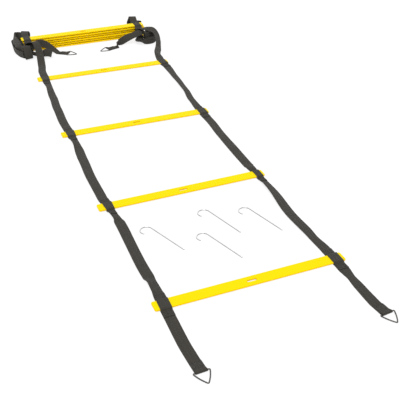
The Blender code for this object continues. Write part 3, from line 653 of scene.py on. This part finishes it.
def band(name, stations, width=WEBBING_WIDTH):
    """A ribbon of webbing along its stations."""
    bm = bmesh.new()
    route = [point for point, across in stations]
    rings = []
    for i, (point, across) in enumerate(stations):
        normal = across.cross(tangent_at(route, i)).normalized()
        rings.append([bm.verts.new(point + SHIFT + across * u * width
                                   + normal * n * WEBBING_THICKNESS) for u, n in BAND_SECTION])
    skin(bm, rings, [u * width for u, n in BAND_SECTION + BAND_SECTION[:1]], distances(route))
    return show(name, bm, webbing_finish)


# %% [markdown]
# ### The straps on the floor
#
# On the floor each strap wanders a little to the side, lifts off the paper by a millimetre or two
# between the rungs, leans, and narrows where it is gathered, which gives it the soft shading of
# a strap that has been folded.

# %% Floor runs
STRAP_LIFTS = {
    "left": ((-0.51, 0), (0.11, 0), (0.3, 0.8), (0.5, 0.2), (0.7, 0.9), (0.88, 0), (1.1, 0),
             (1.35, 1.2), (1.6, 0.3), (1.88, 0), (2.1, 0), (2.4, 1), (2.7, 0.4), (2.9, 0)),
    "right": ((-0.51, 0), (0.11, 0), (0.35, 1), (0.55, 0.3), (0.75, 0.7), (0.88, 0), (1.1, 0),
              (1.4, 0.9), (1.7, 0.4), (1.88, 0), (2.1, 0), (2.35, 0.5), (2.65, 1.1), (2.9, 0)),
}
STRAP_LEANS = {
    "left": ((-0.11, 0), (0.055, 0), (0.11, -8), (0.18, -14), (0.24, 3), (0.5, -2), (0.72, 2),
             (0.8, 0), (0.84, -14), (0.9, -12), (0.935, 0), (1.1, 0), (1.3, -3), (1.6, 2),
             (1.76, 0), (1.84, -16), (1.9, -12), (1.94, 0), (2.1, 0), (2.4, 3), (2.7, -2),
             (2.84, -14), (2.92, -6), (2.95, 0)),
    "right": ((-0.11, 0), (0.11, 0), (0.3, -3), (0.55, -3), (0.75, -14), (0.86, -18), (0.92, -8),
              (0.938, 0), (1.04, 0), (1.07, 6), (1.11, 6), (1.14, 0), (1.35, 3), (1.6, -2),
              (1.88, 0), (2.06, 0), (2.2, -4), (2.45, -10), (2.7, -4), (2.9, 0), (3.11, 0),
              (3.19, -28), (3.34, -36)),
}
STRAP_GATHERS = {
    "left": ((-0.51, 1), (0.055, 1), (0.12, 0.9), (0.19, 0.88), (0.235, 1), (0.8, 1),
             (0.825, 0.8), (0.9, 0.72), (0.95, 0.84), (0.985, 0.92), (1.06, 1), (1.72, 1),
             (1.82, 0.84), (1.92, 0.84), (1.99, 0.96), (2.08, 1), (2.64, 0.96), (2.84, 0.84),
             (2.95, 0.9), (3.03, 1)),
    "right": ((-0.51, 1), (-0.4, 1), (-0.24, 0.92), (-0.155, 0.76), (-0.12, 0.9), (-0.09, 1.04),
              (-0.05, 1), (0.13, 1), (0.24, 0.88), (0.34, 1), (0.68, 1), (0.82, 0.88),
              (0.93, 0.74), (1, 0.72), (1.06, 0.78), (1.105, 0.86), (1.125, 1.04), (1.9, 1),
              (2.06, 0.96), (2.2, 0.84), (2.45, 0.76), (2.7, 0.84), (2.88, 1)),
}


def strap_lie(side, along):
    """A strap on the floor: its middle, how far it leans, and how much of its width it keeps."""
    lean = radians(eased(STRAP_LEANS[side], along))
    rise = eased(STRAP_LIFTS[side], along, WEBBING_THICKNESS) + abs(sin(lean)) * WEBBING_WIDTH / 2
    place = Vector((strap_aside(side, along), along, HALF_CLOTH + rise))
    return place, lean, eased(STRAP_GATHERS[side], along)


def floor_stations(side, far, near):
    """Stations of a strap that lies on the floor, from its far end to its near end."""
    pieces = max(1, round((far - near) / FLOOR_STEP))
    stations = []
    for k in range(pieces + 1):
        point, lean, kept = strap_lie(side, far + (near - far) * k / pieces)
        stations.append((point, kept * Vector((cos(lean), 0, sin(lean)))))
    return stations


def crossing(piece):
    """Bakes a piece of webbing's place into its mesh."""
    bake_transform(piece)


# %% [markdown]
# ### The folded straps
#
# At the far end each strap climbs from the last laid-out rung to the top of the stack, doubles
# back behind it, and then runs to and fro from rung to rung before its end comes out at the
# front with a ring. Each fold is a spine with two layers of webbing that close at its tip.

# %% Folded runs
TOP = len(STACKED_RUNGS) - 1
UNDER_TOP = TOP - 1
BAY_4_HINGE = RUNG_ALONG_SHARES[-1] * RUNG_PITCH + HINGE_REACH + BAY_4_LENGTH
SEATS_ACROSS = [towards(turn) for turn in STACK_TURNS]


def stack_place(level):
    """The middle of a stacked rung."""
    along = BAY_4_HINGE + LEAD_LENGTH + PATCH_LENGTH / 2
    return Vector((STACK_ASIDE_SHARES[level] * RUNG_WIDTH,
                   along + STACK_ALONG_SHARES[level] * RUNG_WIDTH,
                   level * STACK_LEVEL + SLEEVE_HEIGHT / 2))


def strap_height(level):
    """The strap runs over the even levels' rungs and under the odd ones, to and fro."""
    lower = level * STACK_LEVEL + HALF_CLOTH
    return lower if level % 2 == 1 else lower + SLEEVE_HEIGHT - WEBBING_THICKNESS


def run_place(side, end, shares, away, run=WEBBING_WIDTH):
    """A point of a free run, from its shares."""
    out = SIDES[side] * shares[1] * WEBBING_WIDTH
    back = away * shares[0] * run
    return Vector((end.x + out, end.y + back, max(shares[2] * WEBBING_WIDTH, HALF_CLOTH)))


def free_run(side, end, table, away, run=WEBBING_WIDTH):
    """The points of a free run past a patch's end, and its lean at each. No lean is 0."""
    return ([run_place(side, end, row, away, run) for row in table],
            [away * SIDES[side] * (*row, 0)[3] for row in table])


def seat_place(side, level, along, height):
    """A place on a stacked rung's patch, measured from the patch's middle along the strap."""
    middle, across = stack_place(level), SEATS_ACROSS[level]
    spread = SIDES[side] * STRAP_SPREAD - middle.x
    return Vector((middle.x + spread * across.x - along * across.y,
                   middle.y + spread * across.y + along * across.x, height))


def level_end(side, level, away):
    """Where the strap leaves a stacked rung's patch, at its front (-1) or its back (+1)."""
    return seat_place(side, level, away * PATCH_LENGTH / 2, strap_height(level))


def pass_stations(side, level, going):
    """The straight part of the strap that a stacked rung is sewn to."""
    reach = going * PATCH_LENGTH / PASS_STEPS
    return [(seat_place(side, level, reach * (k - PASS_STEPS / 2), strap_height(level)),
             SEATS_ACROSS[level]) for k in range(PASS_STEPS + 1)]


def double_fold(side, level, away):
    """A fold from one level to the next: two layers along one spine, closed at the tip."""
    folds, tips = ((FRONT_FOLD_SHARES, FRONT_TIP_SHARES) if away < 0
                   else (BACK_FOLD_SHARES, BACK_TIP_SHARES))
    table, tip_radius = folds[side][level // 2], tips[side][level // 2] * WEBBING_WIDTH
    low, high = level_end(side, level, away), level_end(side, level + 1, away)
    middle, start_gap = (low + high) / 2, (high - low).length / 2
    points, leans = free_run(side, middle, table, away)
    stations = leaning_run([middle, *points], [0, *leans], SEATS_ACROSS[level])
    spine = [point for point, across in stations]
    gone = distances(spine)
    lower, upper = [], []
    for i, (point, across) in enumerate(stations):
        tangent = tangent_at(spine, i)
        normal = across.cross(tangent) * away
        share = gone[i] / gone[-1]
        neck = ease(min(1, share / FOLD_NECK_SHARE))
        opened = ease(max(0, (share - FOLD_NECK_SHARE) / (1 - FOLD_NECK_SHARE)))
        gap = start_gap + (FOLD_NECK - start_gap) * neck + (tip_radius - FOLD_NECK) * opened
        lower.append((point - normal * gap, across))
        upper.append((point + normal * gap, across))
    tip = [(point + tip_radius * (tangent * sin(turn) - normal * cos(turn)), across)
           for turn in (pi * k / (ARC_STEPS + 1) for k in range(1, ARC_STEPS + 1))]
    return lower[1:] + tip + upper[:0:-1]


def tail_bar(side):
    """The place of the far ring's bar."""
    bar = run_place(side, level_end(side, UNDER_TOP, -1), (*TAIL_RING_SHARES[side], 0), -1)
    bar.z = BAR_HEIGHT
    return bar


def clear_of_floor(stations):
    """The same stations, raised wherever a leaning edge would go below the floor."""
    return [(point + UP * max(0, HALF_CLOTH - point.z + abs(across.z) * WEBBING_WIDTH / 2),
             across) for point, across in stations]


def eye_stations(bar, heading):
    """The strap's end: flat to the ring's bar, round it, and back on itself."""
    outwards, across = towards(heading), towards(heading + 90)
    upper = WEBBING_THICKNESS + SEAT_GAP + HALF_CLOTH
    turns = [pi * (k / (2 * ARC_STEPS) - 0.5) for k in range(2 * ARC_STEPS + 1)]
    places = [(-FOLD_BACK - EYE_RUN_OUT, HALF_CLOTH), (-EYE_RUN_OUT, HALF_CLOTH)]
    places += [(cos(turn) * EYE_RADIUS, BAR_HEIGHT + sin(turn) * EYE_RADIUS) for turn in turns]
    places += [(-EYE_RUN_OUT, upper), (-FOLD_BACK, upper)]
    return [(Vector((bar.x, bar.y, height)) + outwards * out, across) for out, height in places]


def bundle_stations(side):
    """The strap's whole way from the last laid-out bay through the stack to its far ring."""
    lead_end = level_end(side, TOP, -1)
    start = strap_lie(side, BAY_4_HINGE + HINGE_SETBACK)[0]
    start_lean = -degrees(strap_lie(side, BAY_4_HINGE + JOINT_GAP / 2)[1])
    lead, leans = free_run(side, lead_end, LEAD_SHARES[side], -1, LEAD_LENGTH)
    stations = leaning_run([start, *lead, lead_end], [start_lean, *leans, 0], ACROSS,
                           SEATS_ACROSS[TOP])[:-1]
    stations += pass_stations(side, TOP, 1)
    top_end, bottom_end = level_end(side, TOP, 1), level_end(side, 0, 1)
    fold = free_run(side, top_end, TOP_FOLD_SHARES[side], 1)[0]
    stations += carried_stations(smooth_route([top_end, *fold, bottom_end], CLOTH_STEP),
                                 SEATS_ACROSS[TOP], SEATS_ACROSS[0])[1:-1]
    for level in range(TOP):
        going = -1 if level % 2 == 0 else 1
        stations += pass_stations(side, level, going)
        if level < UNDER_TOP:
            stations += double_fold(side, level, going)
    tail_end = level_end(side, UNDER_TOP, -1)
    eye = eye_stations(tail_bar(side), BACK_RING_HEADINGS[side])
    tail, leans = free_run(side, tail_end, TAIL_SHARES[side], -1)
    across = -SIDES[side] * eye[0][1]
    stations += leaning_run([tail_end, *tail, eye[0][0]], [0, *leans, 0],
                            SEATS_ACROSS[UNDER_TOP], across)[1:-1]
    return clear_of_floor(stations) + [(point, across) for point, ignored in eye]


# %% Straps
LAID_RUNGS = (1, 2, 3, 4)


def rung_place(number):
    """The middle of a laid-out rung's underside."""
    return Vector((RUNG_ASIDE_SHARES[number - 1] * RUNG_WIDTH,
                   RUNG_ALONG_SHARES[number - 1] * RUNG_PITCH, WEBBING_THICKNESS + SEAT_GAP))


def front_bar(side):
    """The place of the near ring's bar."""
    along = -HINGE_REACH - TAIL_LENGTH * TAIL_LENGTH_SHARES[side]
    return Vector((strap_aside(side, along), along, BAR_HEIGHT))


for side in SIDES:
    laid = floor_stations(side, BAY_4_HINGE, rung_place(4).y)[::-1]
    folded = band(f"webbing_{side}_folded", laid[:-1] + bundle_stations(side))
    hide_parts(f"strap_{side}_bundle", f"strap_{side}_bay_4")
    crossing(folded)
    for number in (3, 2, 1):
        far, near = rung_place(number + 1).y, rung_place(number).y
        run = band(f"webbing_{side}_to_rung_{number}", floor_stations(side, far, near))
        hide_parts(f"strap_{side}_bay_{number}")
        crossing(run)
    bar = front_bar(side)
    eye = eye_stations(bar, FRONT_RING_HEADINGS[side])
    start = -HINGE_REACH - HINGE_SETBACK
    free = [Vector((strap_aside(side, along), along, HALF_CLOTH))
            for along in (start, (bar.y - HINGE_REACH) / 2)]
    free = carried_stations(smooth_route(free + [eye[0][0]], FLOOR_STEP), ACROSS)
    free = [(point, across * eased(STRAP_GATHERS[side], point.y)) for point, across in free]
    end = band(f"webbing_{side}_end",
               floor_stations(side, rung_place(1).y, start)[:-1] + free[:-1] + eye)
    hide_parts(f"strap_{side}_tail")
    crossing(end)

# %% [markdown]
# ## Sewing
#
# A short patch of the same webbing is sewn over each end of every rung, with a box of stitches
# and a cross in it on each side, so that the rung sits in a tight sleeve. Each stitch is a short
# bent thread that dips into the cloth at both ends.

# %% Thread and wire
THREAD_RADIUS, THREAD_SIDES = 0.00030, 5
STITCH_PITCH, STITCH_ENDS = 0.0034, (0.13, 0.87)


def tube(bm, path, radii, sides, closed=False):
    """A round tube along a path, with a radius at each point of it."""
    turns = [2 * pi * k / sides for k in range(sides + 1)]
    rings = []
    side_way = None
    for i, point in enumerate(path):
        tangent = tangent_at(path, i)
        if closed:
            tangent = (path[(i + 1) % len(path)] - path[i - 1]).normalized()
        if side_way is None:
            side_way = tangent.orthogonal()
        side_way = (side_way - tangent * side_way.dot(tangent)).normalized()
        up_way = tangent.cross(side_way)
        rings.append([bm.verts.new(point + radii[i] * (side_way * cos(turn) + up_way * sin(turn)))
                      for turn in turns[:-1]])
    skin(bm, rings, [max(radii) * turn for turn in turns],
         distances(path + path[:1] if closed else path), closed)


def stitch(bm, start, end, up):
    """One stitch: a short thread that dips into the cloth at both ends."""
    rise = up * THREAD_RADIUS
    path = [start - 2 * rise, start + 0.3 * rise, start.lerp(end, 0.5) + 0.9 * rise,
            end + 0.3 * rise, end - 2 * rise]
    tube(bm, path, [THREAD_RADIUS * share for share in (0.7, 1, 1.1, 1, 0.7)], THREAD_SIDES)


def stitch_row(bm, lay, start, end):
    """A row of stitches. lay tells where a spot is that is so far along and across the flap."""
    start, end = Vector(start), Vector(end)
    count = max(1, round((end - start).length / STITCH_PITCH))
    for k in range(count):
        (first, up), (last, ignored) = (lay(*start.lerp(end, (k + t) / count))
                                        for t in STITCH_ENDS)
        stitch(bm, first, last, up)


def stitch_box(bm, lay, length, width):
    """A sewn box with a cross in it, round the middle of a flap."""
    corners = [(a * length / 2, b * width / 2) for a, b in ((-1, -1), (1, -1), (1, 1), (-1, 1))]
    for i, k in ((0, 1), (1, 2), (2, 3), (3, 0), (0, 2), (1, 3)):
        stitch_row(bm, lay, corners[i], corners[k])


def stitches(name, body, draw):
    """A piece made of threads. draw puts them into its mesh."""
    bm = bmesh.new()
    draw(bm)
    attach(show(name, bm, thread_finish), body)


# %% Sleeves
SEAM_MARGIN = 0.0028
SLEEVE_STEP = 0.0012
STACKED_SINK = 0.0001


def sleeve_heights(base, top):
    """Heights of a patch's middle line along it: down on the strap, up and over the rung."""
    rest = RUNG_WIDTH / 2 + POCKET_GAP
    count = round(PATCH_LENGTH / 2 / SLEEVE_STEP)
    places = [PATCH_LENGTH / 2 * k / count for k in range(-count, count + 1)]
    return [(y, base + (top - base) * ease(min(1, max(0, (rest - abs(y)) / PATCH_SLOPE + 1))))
            for y in places]


def laid_sleeve(side, number):
    """A sleeve's stations over a laid-out rung. Its flaps lie on the strap and lean with it."""
    middle, along_rung = rung_place(number), towards(RUNG_TURNS[number - 1])
    reach = strap_aside(side, middle.y) - middle.x
    base = WEBBING_THICKNESS + SEAT_GAP
    stations = []
    for y, z in sleeve_heights(base, base + RUNG_THICKNESS + SEAT_GAP):
        point, lean, kept = strap_lie(side, middle.y + reach * along_rung.y + y)
        across = kept * (along_rung * cos(lean) + UP * sin(lean))
        stations.append((point + Vector((-sin(lean), 0, cos(lean))) * z, across))
    return stations


def flap_lay(stations, middle, up):
    """Where spots on a sleeve's upper or lower side are, measured from one of its stations."""
    def lay(along, aside):
        place = middle + along / SLEEVE_STEP
        (p, a), (q, b) = stations[int(place)], stations[int(place) + 1]
        across = a.lerp(b, place % 1)
        normal = across.cross(q - p).normalized()
        normal *= 1 if normal.dot(up) > 0 else -1
        return p.lerp(q, place % 1) + across * aside + normal * HALF_CLOTH + SHIFT, normal
    return lay


def flap_seams(bm, stations, up):
    """The sewn boxes on both flaps of a sleeve, on the side that up points to."""
    flap = PATCH_LENGTH / 2 - RUNG_WIDTH / 2 - POCKET_GAP - PATCH_SLOPE
    reach = flap / 2 / SLEEVE_STEP
    for middle in (reach, len(stations) - 1 - reach):
        stitch_box(bm, flap_lay(stations, middle, up), flap - 2 * SEAM_MARGIN,
                   WEBBING_WIDTH - 2 * SEAM_MARGIN)


for number in LAID_RUNGS:
    for side in SIDES:
        stations = laid_sleeve(side, number)
        sleeve = band(f"sleeve_{number}_{side}", stations)
        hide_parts(f"patch_{number}_{side}")
        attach(sleeve, f"bay_{number}")
        stitches(f"seams_{number}_{side}", f"bay_{number}",
                 lambda bm: flap_seams(bm, stations, UP))

for level, number in enumerate(STACKED_RUNGS):
    flip = 1 if level % 2 == 1 else -1
    across, along_strap = SEATS_ACROSS[level], towards(STACK_TURNS[level] + 90)
    base = strap_height(level) + flip * (WEBBING_THICKNESS - STACKED_SINK)
    top = stack_place(level).z + flip * (SLEEVE_HEIGHT / 2 - HALF_CLOTH)
    for side in SIDES:
        centre = seat_place(side, level, 0, 0)
        stations = [(centre + along_strap * y + UP * z, across)
                    for y, z in sleeve_heights(base, top)]
        sleeve = band(f"sleeve_{number}_{side}", stations, WEBBING_WIDTH - 2 * PATCH_TRIM)
        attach(sleeve, "bundle")
        stitches(f"seams_{number}_{side}", "bundle",
                 lambda bm: flap_seams(bm, stations, UP * flip))
print("sleeves and seams:", 2 * (len(LAID_RUNGS) + len(STACKED_RUNGS)))

# %% Sewn eyes


def eye_seam(name, bar, heading, body):
    """The sewn box that closes a strap's eye round its ring."""
    outwards, across = towards(heading), towards(heading + 90)
    height = 2 * WEBBING_THICKNESS + SEAT_GAP
    reach = FOLD_BACK - EYE_RUN_OUT
    middle = Vector((bar.x, bar.y, height)) - outwards * (EYE_RUN_OUT + reach / 2) + SHIFT
    stitches(name, body, lambda bm: stitch_box(
        bm, lambda along, aside: (middle + outwards * along + across * aside, UP),
        reach - SEAM_MARGIN, WEBBING_WIDTH - 2 * SEAM_MARGIN))


for side in SIDES:
    eye_seam(f"eye_seam_back_{side}", tail_bar(side), BACK_RING_HEADINGS[side], "bundle")
    eye_seam(f"eye_seam_front_{side}", front_bar(side), FRONT_RING_HEADINGS[side],
             f"tail_{side}")
print("sewn eyes:", 2 * len(SIDES))

# %% [markdown]
# ## Rungs
#
# A rung is a flat slat moulded in plastic, with round corners, slightly broken edges and a slot
# through its middle, where a peg can hold it to the ground. It is drawn as an outline with a hole
# in it, given thickness and a rounded edge. The curve is then turned into a mesh, so that its
# faces are shaded smooth only where they are round.

# %% Rungs
BEVEL_STEPS = 3
SHARP_FROM = 40


def arc_points(centre, radius, start, turn, steps):
    """Points on an arc, angles in degrees."""
    return [centre + radius * towards(start + turn * k / steps) for k in range(steps + 1)]


def rounded_outline(length, width, radius, grown):
    """A rectangle's outline with round corners, grown by so much all round."""
    points = []
    for quarter, (sx, sy) in enumerate(((1, 1), (-1, 1), (-1, -1), (1, -1))):
        centre = Vector((sx * (length / 2 - radius), sy * (width / 2 - radius), 0))
        points += arc_points(centre, radius + grown, 90 * quarter, 90, ARC_STEPS)
    return points


def add_slat(number, place, turn, body):
    """A rung's slat as a piece, in its place."""
    name = f"slat_{number}"
    curve = bpy.data.curves.new(name, "CURVE")
    curve.dimensions = "2D"
    curve.fill_mode = "BOTH"
    for outline in (rounded_outline(RUNG_LENGTH, RUNG_WIDTH, RUNG_CORNER_RADIUS,
                                    -RUNG_EDGE_ROUND),
                    rounded_outline(SLOT_LENGTH, SLOT_WIDTH, SLOT_WIDTH / 2, RUNG_EDGE_ROUND)):
        spline = curve.splines.new("POLY")
        spline.points.add(len(outline) - 1)
        for spot, point in zip(spline.points, outline):
            spot.co = (*point, 1)
        spline.use_cyclic_u = True
    curve.extrude = RUNG_THICKNESS / 2 - RUNG_EDGE_ROUND
    curve.bevel_depth = RUNG_EDGE_ROUND
    curve.bevel_resolution = BEVEL_STEPS
    drawn = bpy.data.objects.new(name, curve)
    mesh = bpy.data.meshes.new_from_object(drawn)
    bpy.data.objects.remove(drawn)
    mesh.transform(Matrix.Translation(place + SHIFT) @ Matrix.Rotation(radians(turn), 4, "Z"))
    mesh.shade_smooth()
    mesh.set_sharp_from_angle(angle=radians(SHARP_FROM))
    mesh.materials.clear()
    mesh.materials.append(plastic_finish)
    slat = bpy.data.objects.new(name, mesh)
    scene.collection.objects.link(slat)
    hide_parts(f"rung_{number}")
    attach(slat, body)


for number in LAID_RUNGS:
    add_slat(number, rung_place(number) + UP * RUNG_THICKNESS / 2, RUNG_TURNS[number - 1],
             f"bay_{number}")
for level, number in enumerate(STACKED_RUNGS):
    add_slat(number, stack_place(level), STACK_TURNS[level], "bundle")
print("rungs:", len(LAID_RUNGS), "laid out,", len(STACKED_RUNGS), "stacked")

# %% [markdown]
# ## Wire rings and pegs
#
# Each ring is one wire bent to a triangle, with its joint hidden in the strap's eye. Each peg is
# a wire with a hook at its head and a cut tip, rounded by the cutter. Both are swept tubes.

# %% Rings
RING_SIDES = 14


def ring_points():
    """A triangle of wire: base bar on local X, point towards -Y, sides bowed outwards."""
    corners = (Vector((-RING_BASE / 2, 0, 0)), Vector((0, -RING_HEIGHT, 0)),
               Vector((RING_BASE / 2, 0, 0)))
    middle = sum(corners, Vector()) / 3
    points = []
    for i, (corner, bow) in enumerate(zip(corners, (RING_BOW, RING_BOW, 0))):
        before, after = corners[i - 1], corners[(i + 1) % 3]
        inwards = ((before - corner).normalized() + (after - corner).normalized()).normalized()
        half_angle = (before - corner).angle(after - corner) / 2
        centre = corner + inwards * RING_CORNER_RADIUS / sin(half_angle)
        away = degrees(atan2(-inwards.y, -inwards.x))
        turn = 180 - 2 * degrees(half_angle)
        points += arc_points(centre, RING_CORNER_RADIUS, away - turn / 2, turn, ARC_STEPS)
        outwards = ((corner + after) / 2 - middle).normalized()
        points += [corner.lerp(after, t) + outwards * bow * sin(pi * t) ** 1.5
                   for t in (0.2, 0.35, 0.5, 0.65, 0.8)]
    return points


def add_wire(name, path, radii, sides, finish, node, body, closed=False):
    """A bent wire as a piece."""
    bm = bmesh.new()
    tube(bm, path, radii, sides, closed)
    wire = show(name, bm, finish)
    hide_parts(node)
    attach(wire, body)


def add_ring(end, side, place, heading):
    """A ring at a strap's end, lying with its point on the floor."""
    turn = Matrix.Rotation(radians(heading + 90), 3, "Z") @ Matrix.Rotation(RING_DROOP, 3, "X")
    path = [place + SHIFT + turn @ point for point in ring_points()]
    add_wire(f"wire_ring_{end}_{side}", path, [RING_WIRE / 2] * len(path), RING_SIDES,
             ring_finish, f"ring_{end}_{side}", f"{end}_ring_{side}", closed=True)


for side in SIDES:
    add_ring("back", side, tail_bar(side), BACK_RING_HEADINGS[side])
    add_ring("front", side, front_bar(side), FRONT_RING_HEADINGS[side])
print("rings:", 2 * len(SIDES))

# %% Pegs
PEG_PLACE_SHARES = ((-0.370, 0.656), (-0.001, 0.705), (0.232, 0.638), (-0.093, 0.476))
PEG_HEADINGS = (-69.0, -72.4, -73.1, -71.0)
PEG_SIDES, HOOK_STEPS = 12, 28
CUT_RUN, CUT_SHARES = 0.5, (0.55, 0.95)


def peg_path():
    """A hooked peg lying flat: its hook round the origin, its shank along +X, cut at both ends."""
    line = arc_points(Vector(), PEG_HOOK_RADIUS, PEG_HOOK_TURN + 90, -PEG_HOOK_TURN, HOOK_STEPS)
    line += [Vector((PEG_SHANK * t, PEG_HOOK_RADIUS, 0)) for t in (0.1, 0.3, 0.5, 0.7, 0.9, 1)]
    first, last = (end + (inner - end).normalized() * PEG_WIRE / 2 * CUT_RUN
                   for end, inner in ((line[0], line[1]), (line[-1], line[-2])))
    return [line[0], first, *line[1:-1], last, line[-1]]


for number, (aside, along) in enumerate(PEG_PLACE_SHARES, 1):
    place = Vector((aside * RUNG_PITCH, along * RUNG_PITCH, PEG_WIRE / 2)) + SHIFT
    turn = Matrix.Rotation(radians(PEG_HEADINGS[number - 1]), 3, "Z")
    path = [place + turn @ point for point in peg_path()]
    shares = [*CUT_SHARES, *[1] * (len(path) - 4), *CUT_SHARES[::-1]]
    add_wire(f"wire_peg_{number}", path, [PEG_WIRE / 2 * share for share in shares], PEG_SIDES,
             peg_finish, f"peg_{number}", f"peg_{number}_body")
print("pegs:", len(PEG_PLACE_SHARES))

# %% [markdown]
# ## Finish
#
# The size of the dressed ladder is printed. The dressed ladder has to stay in the measured
# frame's box.

# %% The dressed size
low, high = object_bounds()
print("dressed size", [round(c, 4) for c in high - low])
